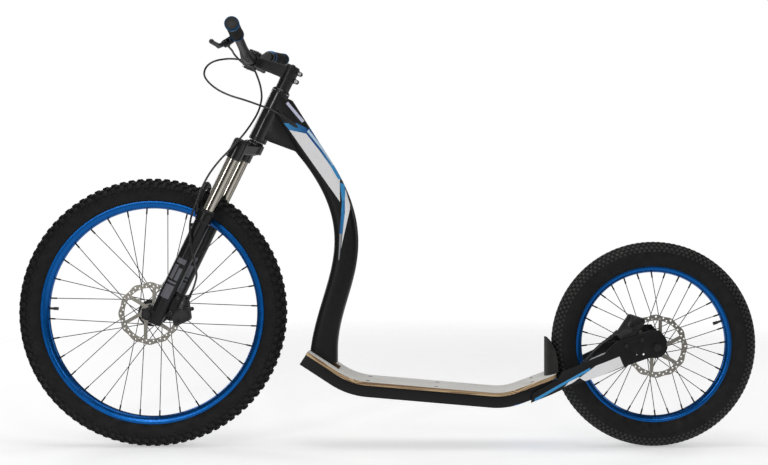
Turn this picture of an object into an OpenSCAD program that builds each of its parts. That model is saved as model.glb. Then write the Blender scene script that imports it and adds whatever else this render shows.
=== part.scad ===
// Kick scooter with a suspension fork, a curved main tube, a plywood deck and two disc brakes.
// The nose points along -X, the rider's left hand is at -Y, and +Z is up.
// The origin is on the ground, halfway along the scooter.

/* [Wheels] */
// Distance between the two axles
wheelbase = 1283; // [1200:1:1400]
// Diameter of the front tyre over its knobs
front_tyre_d = 686; // [640:1:720]
// Diameter of the rear tyre over its knobs
rear_tyre_d = 524; // [490:1:560]
// Width of the front tyre
front_tyre_w = 58; // [48:1:64]
// Width of the rear tyre
rear_tyre_w = 62; // [52:1:66]
// Depth of tyre that stands out beyond the rim flange
tyre_height_front = 57; // [48:1:64]
// Depth of the rear tyre beyond the rim flange
tyre_height_rear = 62.5; // [52:0.5:68]
// Depth of the front rim
rim_depth_front = 20; // [14:0.5:24]
// Depth of the rear rim
rim_depth_rear = 16; // [14:0.5:24]
// Outside width of each rim
rim_w = 30; // [26:1:36]
// Number of spokes in each wheel, a multiple of four
spokes = 32; // [24:4:36]
// Thickness of a spoke
spoke_d = 2; // [1.8:0.1:2.6]
// Diameter of each brake rotor
rotor_d = 160; // [140:1:180]
// Thickness of each brake rotor
rotor_t = 2; // [1.6:0.1:2.4]
// Diameter of both axles
axle_d = 10; // [9:0.5:12]

/* [Fork] */
// Lean of the steering axis from upright, degrees
head_angle = 26; // [22:0.5:30]
// How far the front axle stands ahead of the steering axis
rake = 46; // [38:1:52]
// How far the stanchions stand ahead of the steering axis
stanchion_lead = 23; // [16:1:28]
// Distance from the front axle up to the crown seat
fork_length = 505; // [490:1:540]
// Distance between the two stanchions
leg_spacing = 120; // [112:1:130]
// Diameter of a stanchion
stanchion_d = 32; // [28:1:35]
// Wall of a stanchion
stanchion_wall = 2; // [1.5:0.1:2.5]
// Outside diameter of a lower leg
leg_d = 40; // [38:1:46]
// Wheel travel of the fork
fork_travel = 100; // [60:5:110]
// Distance between the faces of the front dropouts
front_old = 100; // [100:1:110]

/* [Cockpit] */
// Length of the head tube
head_tube_l = 125; // [100:1:150]
// Outside diameter of the head tube
head_tube_d = 47; // [45:1:52]
// Outside diameter of the steerer
steerer_d = 28.6; // [25.4:0.1:31.8]
// Height of the spacers under the stem
spacer_h = 24; // [5:1:40]
// Distance from the steerer to the handlebar
stem_l = 104; // [60:1:120]
// Downward slope of the stem from square to the steerer, degrees
stem_drop = 6; // [0:1:12]
// Overall width of the handlebar with its plugs
bar_w = 726; // [640:2:780]
// Rise of the handlebar
bar_rise = 43; // [20:1:60]
// Thickness of the handlebar in its clamp
bar_clamp_d = 31.8; // [31.8:0.1:35]
// Thickness of the handlebar under the grips
bar_grip_d = 22.2; // [22:0.1:24]
// Diameter of a grip
grip_d = 32; // [28:1:36]
// Length of a grip between its lock rings
grip_l = 112; // [90:1:130]

/* [Frame] */
// Width of the deck board
board_w = 124; // [100:1:150]
// Thickness of the deck board
board_t = 9; // [6:0.5:12]
// Width of the box under the board
base_w = 100; // [84:1:110]
// Height of the box under the board
base_h = 31; // [26:1:45]
// Wall of the box under the board
base_wall = 4; // [2.5:0.5:5]
// Height of the board above the ground, halfway along
deck_height = 162; // [140:1:220]
// Width of the main tube
tube_w = 50; // [40:1:56]
// Wall of the main tube
tube_wall = 3; // [2:0.5:5]
// Thickness of a forged stay
stay_t = 11; // [8:1:14]
// Distance between the faces of the rear dropouts
rear_old = 135; // [130:1:142]
// Height of the heel guard above the board
guard_h = 100; // [70:1:120]
// Thickness of the heel guard
guard_t = 3; // [2:0.5:4]

/* [Brakes] */
// Outside diameter of a brake hose
hose_d = 5; // [4:0.5:6]
// Downward tilt of the brake levers from level, degrees
lever_tilt = 36; // [10:1:60]
// Length of a brake lever blade from its pivot
blade_l = 104; // [80:1:120]

/* [Hidden] */
$fn = 64;
hull_fn = 32;

// Fits and gaps
run_gap = 0.05;      // radial gap of a running fit
part_gap = 0.4;      // gap between faces that slide past each other
eps = 0.01;

// ---- Axles and steering axis ----
front_r = front_tyre_d / 2;
rear_r = rear_tyre_d / 2;
overall_l = front_r + wheelbase + rear_r;
front_axle_x = -overall_l / 2 + front_r;
rear_axle_x = overall_l / 2 - rear_r;
axis_up = [sin(head_angle), 0, cos(head_angle)];
axis_back = [cos(head_angle), 0, -sin(head_angle)];
axis_foot = [front_axle_x, 0, front_r] + rake * axis_back;

// ---- Stations along the steering axis, measured up from the axle ----
crown_h = 24;
crown_low = fork_length - 58;
crown_leg_top = fork_length - 10;
seal_z = fork_length - 207;
race_h = 5;
cup_h = 8.5;
cup_depth = 14;
head_low = fork_length + race_h + 1.5 + cup_h;
head_high = head_low + head_tube_l;
cover_low = head_high + 6 + 0.5;
cover_h = 7.5;
stem_low = cover_low + cover_h + spacer_h;
stem_clamp_h = 40;
stem_high = stem_low + stem_clamp_h;
stanchion_low = 160;
leg_bore_low = 30;
leg_foot_low = -12;
bearing_h = 8;
bearing_r = 18;
cup_r = head_tube_d / 2 - 3;

// ---- Fork details ----
leg_y = leg_spacing / 2;
stanchion_r = stanchion_d / 2;
stanchion_bore_r = stanchion_r - stanchion_wall;
cap_plug_h = 12;
seal_h = 6;
crown_leg_r = stanchion_r + 4;
dropout_t = 8;
rod_r = 4;
spring_seat_z = 200;
piston_z = 226;
cartridge_low = 165;
cartridge_wall = 1.6;
foot_bolt_r = 3;
foot_bolt_head_r = 6;
axle_r = axle_d / 2;
nut_h = 7;

// ---- Rims, hubs and rotors ----
rim_lip = 3;
rim_seat_drop = 7;
rim_wall = 2;
front_flange_r = front_r - tyre_height_front;
rear_flange_r = rear_r - tyre_height_rear;
hub_flange_t = 3.2;
spoke_r = spoke_d / 2;
spoke_stagger = 2.5;
nipple_r = 2;
nipple_head_r = 3;
nipple_l = 14;
hub_barrel_r = 15;
hub_end_gap = 4;
rotor_seat_r = 24;
rotor_bolt_circle = 22;
rotor_bolt_r = 2.5;
rotor_inset = 15;
bearing_od_r = 13;
bead_w = 5.5;
casing_t = 4.5;
tread_extra = 2.5;
inner_tube_t = 1.2;
pitch = 360 / spokes;
valve_r = 3;
valve_l = 21;

// Front hub: [left flange, right flange, spoke circle, crossing angle, first nipple angle]
front_flanges = [20.5, -33];
rear_flanges = [31, -34];
front_spoke_circle = 30;
rear_spoke_circle = 29;
front_valve_a = 177.9;
rear_valve_a = 18.4;
front_rotor_z = front_old / 2 - rotor_inset;
rear_rotor_z = rear_old / 2 - rotor_inset;

// ---- Calipers: angles are seen from the rider's left, counted from the rear ----
front_caliper_a = 8;
rear_caliper_a = 146;
caliper_half_l = 36;
caliper_depth_in = 10.5;
caliper_depth_out = 13;
pad_t = 3;
pad_gap = 0.5;
pad_play = 0.3;
pad_size = [18, 28];
pad_r = rotor_d / 2 - 10;
arm_pivot_r = rotor_d / 2 + 6;
arm_t = 5;
arm_l = 26;
arm_hub_r = 10;
arm_pin_r = 4;
front_arm_a = 3;
rear_arm_a = 73;
front_stop_a = 62;
rear_stop_a = 221;
stop_at = [104, 22];
stop_l = 13;
stop_side = 16;
front_caliper_bolts = [[60, -4], [83, 30]];
rear_caliper_bolts = [[42, 6], [67, 40]];

// ---- Deck: the line of the board's top face, seen from the side ----
deck_nose = [front_axle_x + 404, deck_height + 87];
deck_front_bend = [front_axle_x + 516, deck_height + 14];
deck_rear_bend = [rear_axle_x - 382, deck_height - 19];
deck_tail = [rear_axle_x - 251, deck_height + 30];
front_bend_r = 160;
rear_bend_r = 140;
deck_line = bent_line([deck_nose, deck_front_bend, deck_rear_bend, deck_tail], [front_bend_r, rear_bend_r]);

// ---- Main tube: its front and rear edges, seen from the side ----
head_foot = along_axis(head_low, 0);
neck_front = head_foot + [112, -55];
neck_rear = head_foot + [184, -55];
heel = deck_nose + [69, -3];
tube_front_edge = [deck_nose, deck_nose + [23, 176], neck_front + [160, -205], neck_front];
tube_rear_edge = [heel, heel + [0, 149], neck_rear + [150, -232], neck_rear];
tube_head_front = along_axis(head_low + 77, 0);
tube_head_rear = along_axis(head_high + 22, 0);
tube_rings = 22;
tube_sides = 24;
tube_neck_w = head_tube_d - 3;
tube_squareness = 0.62;

// ---- Handlebar, right-hand half, from the middle of its clamp ----
bar_centre = along3(stem_low + stem_clamp_h / 2, -stem_l * cos(stem_drop))
    - stem_l * sin(stem_drop) * axis_up;
plug_t = 3;
plug_play = 0.15;
bar_half = bar_w / 2 - plug_t;
bar_knee_y = 200;
bar_shoulder_y = 56;
bar_wall = 2.4;
bar_sides = 32;
bar_knee = [5, bar_knee_y, bar_rise * 0.77];
bar_end = [23, bar_half, bar_rise];
grip_dir = unit3(bar_end - bar_knee);
bar_straight_l = norm(bar_end - bar_knee);
ring_w = 10;
ring_r = grip_d / 2 + 1;
ring_outer_y = bar_straight_l - ring_w;
grip_start = ring_outer_y - grip_l;
ring_inner_y = grip_start - ring_w;
reach_dir = unit3([-cos(lever_tilt), 0, -sin(lever_tilt)]
    - ([-cos(lever_tilt), 0, -sin(lever_tilt)] * grip_dir) * grip_dir);

// ---- Lever mount, in the grip's own frame: x reaches away from the bar, y runs outward ----
lever_clamp_y = ring_inner_y - 17;
lever_clamp_w = 13;
lever_pivot = [34, lever_clamp_y + 10];
lever_pin_r = 2.5;
blade_t = 9;
mount_t = 16;
adjuster_r = 4;
adjuster_l = 18;

// ---- Brake hoses: points chosen by hand, counted from the lever, the head tube, the deck and the caliper ----
hose_gap = 0.5;
right_adjuster = bar_centre + bar_knee + 30 * reach_dir + (lever_clamp_y - 10 - adjuster_l) * grip_dir;
left_adjuster = [right_adjuster.x, -right_adjuster.y, right_adjuster.z];
head_point = [head_foot.x, 0, head_foot.y];
nose_point = [deck_nose.x, 0, deck_nose.y];
base_tail_gap = 16;
base_line = shortened(deck_line, 0, base_tail_gap);
base_middle = beside(base_line, board_t + base_h / 2);
base_hose_y = -40;
tail_point = [base_middle[len(base_middle) - 1].x, base_hose_y, base_middle[len(base_middle) - 1].y];
hose_port = head_point + [70, -29, 52];
front_hose_route = concat(
    from_point(left_adjuster, [[0, hose_gap, 0], [-2, 20, -2], [0, 45, -7], [2, 73, -16], [17, 108, -33]]),
    from_point(head_point, [[-5, -50, 175], [7, -42, 148], [15, -44, 118], [16, -50, 90], [7, -64, 55],
        [-19, -80, 10],
        [-53, -92, -32], [-80, -92, -60], [-105, -93, -93]]),
    from_point(hose_mouth(front_axle_x, front_r, front_rotor_z, front_caliper_a, front_stop_a),
        [[38, -41, 269], [22, -40, 229], [10, -39, 189], [9, -39, 149], [14, -38, 109], [20, -33, 79], [21,
            -20, 52],
        [14, -9, 30], [6, -2, 12], [0.2, 0, hose_gap]]));
rear_hose_route = concat(
    from_point(right_adjuster, [[0, -hose_gap, 0], [-3, -28, -2], [-11, -63, -3], [-27, -113, -4]]),
    from_point(head_point, [[-86, 30, 207], [-112, -5, 197], [-129, -20, 181], [-133, -28, 160], [-120,
        -34, 140],
        [-96, -38, 121], [-64, -42, 106], [-26, -44, 94], [14, -42, 80], [42, -37, 69], [70, -29, 52],
        [86, -23.5, 39.5], [101, -16, 22], [119, -7, -5]]),
    [for (t = [1:-0.2:0]) let (p = (bezier(tube_front_edge, t) + bezier(tube_rear_edge, t)) / 2) [p.x, 0,
        p.y]],
    from_point(nose_point, [[45, 0, -41], [61, -3, -63], [97, -10, -88], [147, -22, -100]]),
    [for (i = [10, 12, 14, 16, 18]) [base_middle[i].x, base_hose_y, base_middle[i].y]],
    from_point(tail_point, [[0, 0, 0], [16, -1, 8], [44, -4, 32]]),
    from_point(hose_mouth(rear_axle_x, rear_r, rear_rotor_z, rear_caliper_a, rear_stop_a),
        [[-75, 19, -72], [-54, 15, -48], [-32, 9, -25], [-12, 2, -10], [-hose_gap, 0, -hose_gap]]));

// ==================== functions ====================
function unit3(v) = v / norm(v);
function along_axis(up, back) =
    [axis_foot.x + up * axis_up.x + back * axis_back.x, axis_foot.z + up * axis_up.z + back * axis_back.z];
function along3(up, back) = axis_foot + up * axis_up + back * axis_back;
function bezier(p, t) =
    pow(1 - t, 3) * p[0] + 3 * pow(1 - t, 2) * t * p[1] + 3 * (1 - t) * t * t * p[2] + t * t * t * p[3];
function from_point(origin, offsets) = [for (p = offsets) origin + p];
function turned(p, a) = [p.x * cos(a) - p.y * sin(a), p.x * sin(a) + p.y * cos(a)];
// Where a hose meets the stop on a caliper
function hose_mouth(axle_x, axle_z, rotor_z, angle, stop_a) =
    let (p = turned(stop_at, angle) + stop_l * [cos(stop_a), sin(stop_a)])
    [axle_x + p.x, -rotor_z - stop_side, axle_z + p.y];
function flip(list) = [for (i = [len(list) - 1:-1:0]) list[i]];
function mix(a, b, t) = a + (b - a) * t;

// A corner rounded with a true radius, as short steps
function rounded_corner(a, b, c, r, steps = 8) =
    let (u = (a - b) / norm(a - b), v = (c - b) / norm(c - b))
    let (half = acos(u * v) / 2, reach = r / tan(half), middle = b + (u + v) / norm(u + v) * r / sin(half))
    let (p = b + u * reach - middle, q = b + v * reach - middle)
    let (turn = acos(p * q / (r * r)), side = sign(p.x * q.y - p.y * q.x))
    [for (i = [0:steps]) let (k = side * turn * i / steps)
        middle + [p.x * cos(k) - p.y * sin(k), p.x * sin(k) + p.y * cos(k)]];
function bent_line(p, r) = concat([p[0]],
    [for (i = [1:len(p) - 2]) each rounded_corner(p[i - 1], p[i], p[i + 1], r[i - 1])], [p[len(p) - 1]]);
function heading(line, i) =
    let (d = line[min(i + 1, len(line) - 1)] - line[max(i - 1, 0)]) d / norm(d);
// The same line moved sideways; a positive distance moves it down
function beside(line, d) = [for (i = [0:len(line) - 1]) let (h = heading(line, i)) line[i] + d * [h.y,
    -h.x]];
function shortened(line, a, b) = [for (i = [0:len(line) - 1])
    i == 0 ? line[0] + a * heading(line, 0)
    : i == len(line) - 1 ? line[i] - b * heading(line, i)
    : line[i]];

// A smooth curve through the points, with a few steps between each pair
function curve_point(p, i, t) =
    let (n = len(p) - 1, a = p[max(i - 1, 0)], b = p[i], c = p[i + 1], d = p[min(i + 2, n)])
    0.5 * (2 * b + (c - a) * t + (2 * a - 5 * b + 4 * c - d) * t * t + (3 * b - a - 3 * c + d) * t * t * t);
function smooth_line(p, steps) = concat([for (i = [0:len(p) - 2], k = [0:steps - 1]) curve_point(p, i,
    k / steps)],
    [p[len(p) - 1]]);
function tangents(p) = [for (i = [0:len(p) - 1]) unit3(p[min(i + 1, len(p) - 1)] - p[max(i - 1, 0)])];
function carried(t, i, n) = i >= len(t) ? []
    : let (m = unit3(n - (n * t[i]) * t[i])) concat([m], carried(t, i + 1, m));
function tube_ring(c, t, n, r, sides) =
    let (b = cross(t, n)) [for (k = [0:sides - 1])
        c + r * (cos(360 * k / sides) * n + sin(360 * k / sides) * b)];
function tube_rings(p, r, sides, start) =
    let (t = tangents(p), n = carried(t, 0, start))
    [for (i = [0:len(p) - 1]) tube_ring(p[i], t[i], n[i], r, sides)];

// ==================== helpers ====================
module skin(rings) {
    sides = len(rings[0]);
    last = len(rings) - 1;
    points = [for (ring = rings) each ring];
    walls = [for (i = [0:last - 1], j = [0:sides - 1])
        let (a = i * sides + j, b = i * sides + (j + 1) % sides) each [[a, b + sides, b], [a, a + sides,
            b + sides]]];
    low_cap = [for (j = [0:sides - 1]) j];
    high_cap = [for (j = [sides - 1:-1:0]) last * sides + j];
    polyhedron(points, concat(walls, [low_cap], [high_cap]), convexity = 6);
}

module rod(p, q, r1, r2) {
    d = q - p;
    translate(p) rotate([0, acos(d.z / norm(d)), atan2(d.y, d.x)])
        cylinder(h = norm(d), r1 = r1, r2 = r2);
}

module steering() {
    translate(axis_foot) rotate([0, head_angle, 0]) children();
}

module front_hub_frame() {
    translate([front_axle_x, 0, front_r]) rotate([90, 0, 0]) children();
}

module rear_hub_frame() {
    translate([rear_axle_x, 0, rear_r]) rotate([90, 0, 0]) children();
}

// Side view drawn in X and Z, given a width centred on the middle plane
module side_plate(width) {
    rotate([90, 0, 0]) translate([0, 0, -width / 2]) linear_extrude(width) children();
}

module ring(h, outer, inner) {
    difference() {
        cylinder(h = h, r = outer);
        translate([0, 0, -1]) cylinder(h = h + 2, r = inner);
    }
}

module both_sides() {
    children();
    mirror([0, 1, 0]) children();
}

// The frame of the right-hand grip: x reaches away from the bar, y runs outward
module grip_frame() {
    across = cross(reach_dir, grip_dir);
    translate(bar_centre + bar_knee)
        multmatrix([[reach_dir.x, grip_dir.x, across.x, 0],
            [reach_dir.y, grip_dir.y, across.y, 0],
            [reach_dir.z, grip_dir.z, across.z, 0],
            [0, 0, 0, 1]]) children();
}

module along_grip(y) {
    grip_frame() translate([0, y, 0]) rotate([-90, 0, 0]) children();
}

module hex(h, across_flats) {
    cylinder(h = h, r = across_flats / 2 / cos(30), $fn = 6);
}

module cap_screw(l, r, head_r, head_h) {
    translate([0, 0, -l]) cylinder(h = l, r = r);
    difference() {
        cylinder(h = head_h, r = head_r);
        translate([0, 0, head_h * 0.4]) hex(head_h, head_r);
    }
}

// ==================== frame ====================
module head_solid() {
    steering() translate([0, 0, head_low]) cylinder(h = head_tube_l, r = head_tube_d / 2);
}

module head_tube() {
    color("#18191b") steering() difference() {
        translate([0, 0, head_low]) cylinder(h = head_tube_l, r = head_tube_d / 2);
        translate([0, 0, head_low - 1]) cylinder(h = head_tube_l + 2, r = steerer_d / 2 + 3.2);
        translate([0, 0, head_low - 1]) cylinder(h = cup_depth + 1, r = cup_r);
        translate([0, 0, head_high - cup_depth]) cylinder(h = cup_depth + 1, r = cup_r);
    }
}

// One section of the main tube between a front and a rear edge point
function tube_section(front, rear, width, wall) =
    let (mid = (front + rear) / 2, half = (rear - front) / 2, k = 1 - wall / norm(half))
    [for (j = [0:tube_sides - 1]) let (a = 360 * j / tube_sides)
        let (u = sign(cos(a)) * pow(abs(cos(a)), tube_squareness) * k)
        let (v = sign(sin(a)) * pow(abs(sin(a)), tube_squareness) * (width / 2 - wall))
        [mid.x + half.x * u, v, mid.y + half.y * u]];

module tube_body(wall) {
    below = [[deck_nose + [-6, -45], heel + [0, -85]]];
    lower = [for (i = [0:tube_rings]) [bezier(tube_front_edge, i / tube_rings), bezier(tube_rear_edge,
        i / tube_rings)]];
    upper = [for (t = [0.33, 0.66, 1]) [mix(neck_front, tube_head_front, t), mix(neck_rear, tube_head_rear,
        t)]];
    pairs = concat(below, lower, upper);
    last = len(pairs) - 1;
    skin([for (i = [0:last])
        tube_section(pairs[i][0], pairs[i][1], i > tube_rings + 1 ? tube_neck_w : tube_w, wall)]);
}

module under_board(depth) {
    side_plate(base_w + 60)
        polygon(concat(beside(deck_line, board_t), flip(beside(shortened(deck_line, -60, 0),
            board_t + depth))));
}

module at_port() {
    d = unit3([53, 19, -41]);
    translate(hose_port) rotate([0, acos(d.z), atan2(d.y, d.x)]) children();
}

module main_tube() {
    color("#18191b") difference() {
        tube_body(0);
        tube_body(tube_wall);
        head_solid();
        steering() translate([0, 0, head_high - 1]) cylinder(h = 80, r = 70);
        under_board(120);
        at_port() translate([0, 0, -14]) cylinder(h = port_l, r = grommet_r);
    }
}

gusset_w = 34;

module head_gusset() {
    corner = head_foot + [97, -35];
    color("#1d1e20") difference() {
        side_plate(gusset_w) polygon([along_axis(head_low + 6, 12), along_axis(head_low + 4,
            head_tube_d / 2 + 8),
            corner, neck_front + [6, -6], neck_front + [20, 10], tube_head_front, along_axis(head_low + 70,
                10)]);
        head_solid();
        tube_body(0);
    }
}

grommet_r = 5;
port_l = 60;

module deck_base() {
    inner = shortened(base_line, base_wall, base_wall);
    color("#151617") difference() {
        side_plate(base_w)
            polygon(concat(beside(base_line, board_t), flip(beside(base_line, board_t + base_h))));
        side_plate(base_w - 2 * base_wall)
            polygon(concat(beside(inner, board_t + base_wall), flip(beside(inner,
                board_t + base_h - base_wall))));
        translate(nose_point + [45, 0, -70]) cylinder(h = 50, r = 12);
        tail_port() translate([0, 0, -20]) cylinder(h = 40, r = grommet_r);
        board_screw_places() translate([0, 0, -30]) cylinder(h = 30, r = board_screw_r);
        guard_screw_places() translate([0, 0, -30]) cylinder(h = 30, r = board_screw_r);
    }
}

module tail_port() {
    h = heading(deck_line, len(deck_line) - 1);
    translate(tail_point) rotate([0, 90 - atan2(h.y, h.x), 0]) children();
}

mudguard_holes = [-52, -34];
mudguard_hole_drop = 18;
mudguard_hole_r = 3;
stay_flare = [rear_axle_x - 242, rear_axle_x - 122];

// Side view of a forged stay, widening from the deck box to the dropout round the axle
module stay_side() {
    a = [rear_axle_x, rear_r];
    polygon([deck_rear_bend + [66, -23], a + [-264, -121], a + [-234, -107], a + [-197, -92], a + [-133,
        -68],
        a + [-84, -49], a + [-22, -27], a + [6, -25], a + [18, -17], a + [25, 0], a + [20, 26], a + [6, 42],
        a + [-20, 41], a + [-62, 27], a + [-100, 14], a + [-119, -2], a + [-132, -18], a + [-177, -38],
        a + [-236, -63], a + [-247, -81], deck_rear_bend + [71, 1]]);
}

// Plan view of a stay: beside the box, then flaring out to the dropout
module stay_plan(thickness) {
    polygon([[rear_axle_x - 330, base_w / 2], [stay_flare[0], base_w / 2], [stay_flare[1], rear_old / 2],
        [rear_axle_x + 60, rear_old / 2], [rear_axle_x + 60, rear_old / 2 + thickness],
        [stay_flare[1] - 6, rear_old / 2 + thickness], [stay_flare[0] - 6, base_w / 2 + thickness],
        [rear_axle_x - 330, base_w / 2 + thickness]]);
}

module stay() {
    difference() {
        intersection() {
            side_plate(2 * rear_old) stay_side();
            linear_extrude(600) stay_plan(stay_t);
        }
        rear_hub_frame() translate([0, 0, -rear_old]) cylinder(h = 2 * rear_old, r = axle_r + part_gap / 4);
        for (x = mudguard_holes) translate([rear_axle_x + x, 0, rear_r - mudguard_hole_drop]) rotate([90,
            0, 0])
            translate([0, 0, -rear_old]) cylinder(h = 2 * rear_old, r = mudguard_hole_r);
        translate([rear_axle_x - 210, base_w / 2 + stay_t - 2.5, rear_r - 84]) rotate([0, -24, 0])
            cube([110, 5, 9]);
    }
}

module left_stay() {
    color("#17181a") difference() {
        mirror([0, 1, 0]) stay();
        rear_hub_frame() caliper_bolt_places(rear_caliper_a, rear_caliper_bolts)
            cylinder(h = rear_old, r = caliper_bolt_r);
    }
}

module right_stay() {
    color("#17181a") stay();
}

board_screw_r = 2.5;
board_screw_head_r = 5;
board_sink = 1.8;
board_front_screw_x = deck_front_bend.x + 38;
board_rear_screw_x = deck_rear_bend.x + 70;
board_screw_y = 36;
board_corner_r = 18;
slot_gap = 1.5;
wheel_notch = 12;

function board_top(x) = lookup(x, [for (p = deck_line) [p.x, p.y]]);
function board_slope(x) = atan2(board_top(x + 1) - board_top(x - 1), 2);

module on_board(x, y) {
    translate([x, y, board_top(x)]) rotate([0, -board_slope(x), 0]) children();
}

module board_screw_places() {
    for (x = [board_front_screw_x, (board_front_screw_x + deck_rear_bend.x) / 2, board_rear_screw_x])
        for (y = [-board_screw_y, board_screw_y]) on_board(x, y) children();
}

module guard_screw_places() {
    for (y = [-guard_screw_y, guard_screw_y]) on_board(guard_front_x + guard_screw_x, y) children();
}

module deck_board() {
    tube_gap = tube_w / 2 + slot_gap;
    slot_end = heel.x + slot_gap + 4;
    color("#efece4") difference() {
        intersection() {
            side_plate(board_w) polygon(concat(deck_line, flip(beside(deck_line, board_t))));
            linear_extrude(600) union() {
                translate([-overall_l / 2, -board_w / 2])
                    square([overall_l / 2 + deck_tail.x - board_corner_r, board_w]);
                translate([-overall_l / 2, -board_w / 2 + board_corner_r])
                    square([overall_l / 2 + deck_tail.x, board_w - 2 * board_corner_r]);
                for (s = [-1, 1]) translate([deck_tail.x - board_corner_r,
                    s * (board_w / 2 - board_corner_r)])
                    circle(r = board_corner_r);
            }
        }
        translate([deck_nose.x - 100, -tube_gap, 0]) cube([slot_end - deck_nose.x + 100, 2 * tube_gap,
            600]);
        translate([deck_tail.x - wheel_notch + guard_r, 0, 0]) cylinder(h = 600, r = guard_r);
        board_screw_places() {
            translate([0, 0, -30]) cylinder(h = 40, r = board_screw_r);
            translate([0, 0, -board_sink]) cylinder(h = 10, r = board_screw_head_r + part_gap);
        }
        guard_screw_places() translate([0, 0, -30]) cylinder(h = 40, r = board_screw_r);
    }
}

module deck_bolts() {
    color("#b9bbbd") {
        board_screw_places() translate([0, 0, 0.05 - board_sink]) cap_screw(12, board_screw_r - 0.05,
            board_screw_head_r, 1.6);
        guard_screw_places() translate([0, 0, guard_t + 0.1]) cap_screw(17, board_screw_r - 0.05, 4, 2);
    }
}

guard_r = 50;
guard_front_x = rear_axle_x - 280;
guard_screw_y = 20;
guard_foot_d = 21;
guard_screw_x = 14.5;
function guard_base(back) = board_top(guard_front_x) + back * tan(board_slope(guard_front_x)) + 0.05;

// Side view of the guard: tall at its middle, falling away toward the wheel
module guard_side() {
    polygon([[guard_front_x - 1, guard_base(-1)], [guard_front_x - 1, board_top(guard_front_x) + guard_h],
        [guard_front_x + 8, board_top(guard_front_x) + guard_h - 4],
        [guard_front_x + 19, board_top(guard_front_x) + guard_h - 16],
        [guard_front_x + 28, board_top(guard_front_x) + guard_h - 36],
        [guard_front_x + 33, board_top(guard_front_x) + guard_h - 58],
        [guard_front_x + 34, guard_base(34)]]);
}

module heel_guard() {
    top = board_top(guard_front_x);
    color("#2a2927") difference() {
        union() {
            intersection() {
                translate([guard_front_x + guard_r, 0, 0]) ring(600, guard_r, guard_r - guard_t);
                side_plate(2 * guard_r) guard_side();
            }
            intersection() {
                translate([guard_front_x + guard_r, 0, 0]) cylinder(h = 600, r = guard_r - guard_t / 2);
                side_plate(2 * guard_r) polygon([[guard_front_x, guard_base(0)],
                    [guard_front_x + guard_foot_d, guard_base(guard_foot_d)],
                    [guard_front_x + guard_foot_d, guard_base(guard_foot_d) + guard_t],
                    [guard_front_x, guard_base(0) + guard_t]]);
            }
        }
        guard_screw_places() translate([0, 0, -2]) cylinder(h = 12, r = board_screw_r);
    }
}

module headset_cups() {
    color("#1c1c1e") steering() {
        translate([0, 0, head_low - cup_h]) difference() {
            union() {
                cylinder(h = cup_h, r = head_tube_d / 2);
                translate([0, 0, cup_h - eps]) cylinder(h = cup_depth, r = cup_r);
            }
            translate([0, 0, -1]) cylinder(h = bearing_h + 3, r = bearing_r);
            translate([0, 0, -1]) cylinder(h = 60, r = steerer_d / 2 + 1.5);
        }
        translate([0, 0, head_high]) difference() {
            union() {
                cylinder(h = 6, r = head_tube_d / 2);
                translate([0, 0, -cup_depth + eps]) cylinder(h = cup_depth, r = cup_r);
            }
            translate([0, 0, 6 - bearing_h - 2]) cylinder(h = bearing_h + 3, r = bearing_r);
            translate([0, 0, -60]) cylinder(h = 90, r = steerer_d / 2 + 1.5);
        }
    }
}

module headset_bearings() {
    color("#9a9c9e") steering() {
        translate([0, 0, head_low - cup_h + 2]) ring(bearing_h, bearing_r, steerer_d / 2 + run_gap);
        translate([0, 0, head_high + 6 - 2 - bearing_h]) ring(bearing_h, bearing_r,
            steerer_d / 2 + run_gap);
    }
}

module hose_grommets() {
    color("#101010") {
        difference() {
            at_port() translate([0, 0, -12]) ring(port_l - 4, grommet_r, hose_d / 2);
            tube_body(tube_wall + 1);
        }
        tail_port() translate([0, 0, -base_wall - 1]) ring(base_wall + 4, grommet_r, hose_d / 2);
    }
}

// ==================== steering part ====================
module steerer_tube() {
    color("#8c8f92") steering() translate([0, 0, fork_length - crown_h + 2])
        ring(stem_high - 3 - fork_length + crown_h - 2, steerer_d / 2, steerer_d / 2 - 2.2);
}

module fork_crown() {
    color("#121315") steering() difference() {
        union() {
            translate([0, 0, fork_length - crown_h]) cylinder(h = crown_h, r = 24);
            translate([0, 0, fork_length - eps]) cylinder(h = race_h, r = 19);
            for (s = [-1, 1]) {
                translate([-stanchion_lead, s * leg_y, crown_low]) cylinder(h = crown_leg_top - crown_low,
                    r = crown_leg_r);
                hull() {
                    translate([0, s * 6, fork_length - crown_h]) cylinder(h = crown_h - 3, r = 19,
                        $fn = hull_fn);
                    translate([-stanchion_lead, s * leg_y, crown_leg_top - 28])
                        cylinder(h = 26, r = crown_leg_r - 3, $fn = hull_fn);
                }
            }
        }
        translate([0, 0, fork_length - crown_h - 1]) cylinder(h = crown_h + race_h + 2, r = steerer_d / 2);
        for (s = [-1, 1]) translate([-stanchion_lead, s * leg_y, 0]) {
            translate([0, 0, crown_low - 1]) cylinder(h = crown_leg_top - crown_low + 2, r = stanchion_r);
            translate([0, 0, crown_leg_top]) cylinder(h = 30, r = crown_leg_r);
        }
    }
}

module at_legs() {
    steering() for (s = [-1, 1]) translate([-stanchion_lead, s * leg_y, 0]) children();
}

module at_leg(s) {
    steering() translate([-stanchion_lead, s * leg_y, 0]) children();
}

module stanchions() {
    color("#b7ab93") at_legs() translate([0, 0, stanchion_low])
        ring(crown_leg_top - stanchion_low, stanchion_r, stanchion_bore_r);
}

module fork_top_caps() {
    color("#1a1b1d") at_legs() {
        difference() {
            union() {
                translate([0, 0, crown_leg_top]) cylinder(h = 3, r = crown_leg_r - 1.5);
                translate([0, 0, crown_leg_top + 3 - eps]) cylinder(h = 3, r1 = crown_leg_r - 3,
                    r2 = crown_leg_r - 6);
                translate([0, 0, crown_leg_top - cap_plug_h]) cylinder(h = cap_plug_h + 1,
                    r = stanchion_bore_r);
            }
            translate([0, 0, crown_leg_top + 2]) hex(10, 12);
        }
    }
}

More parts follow.
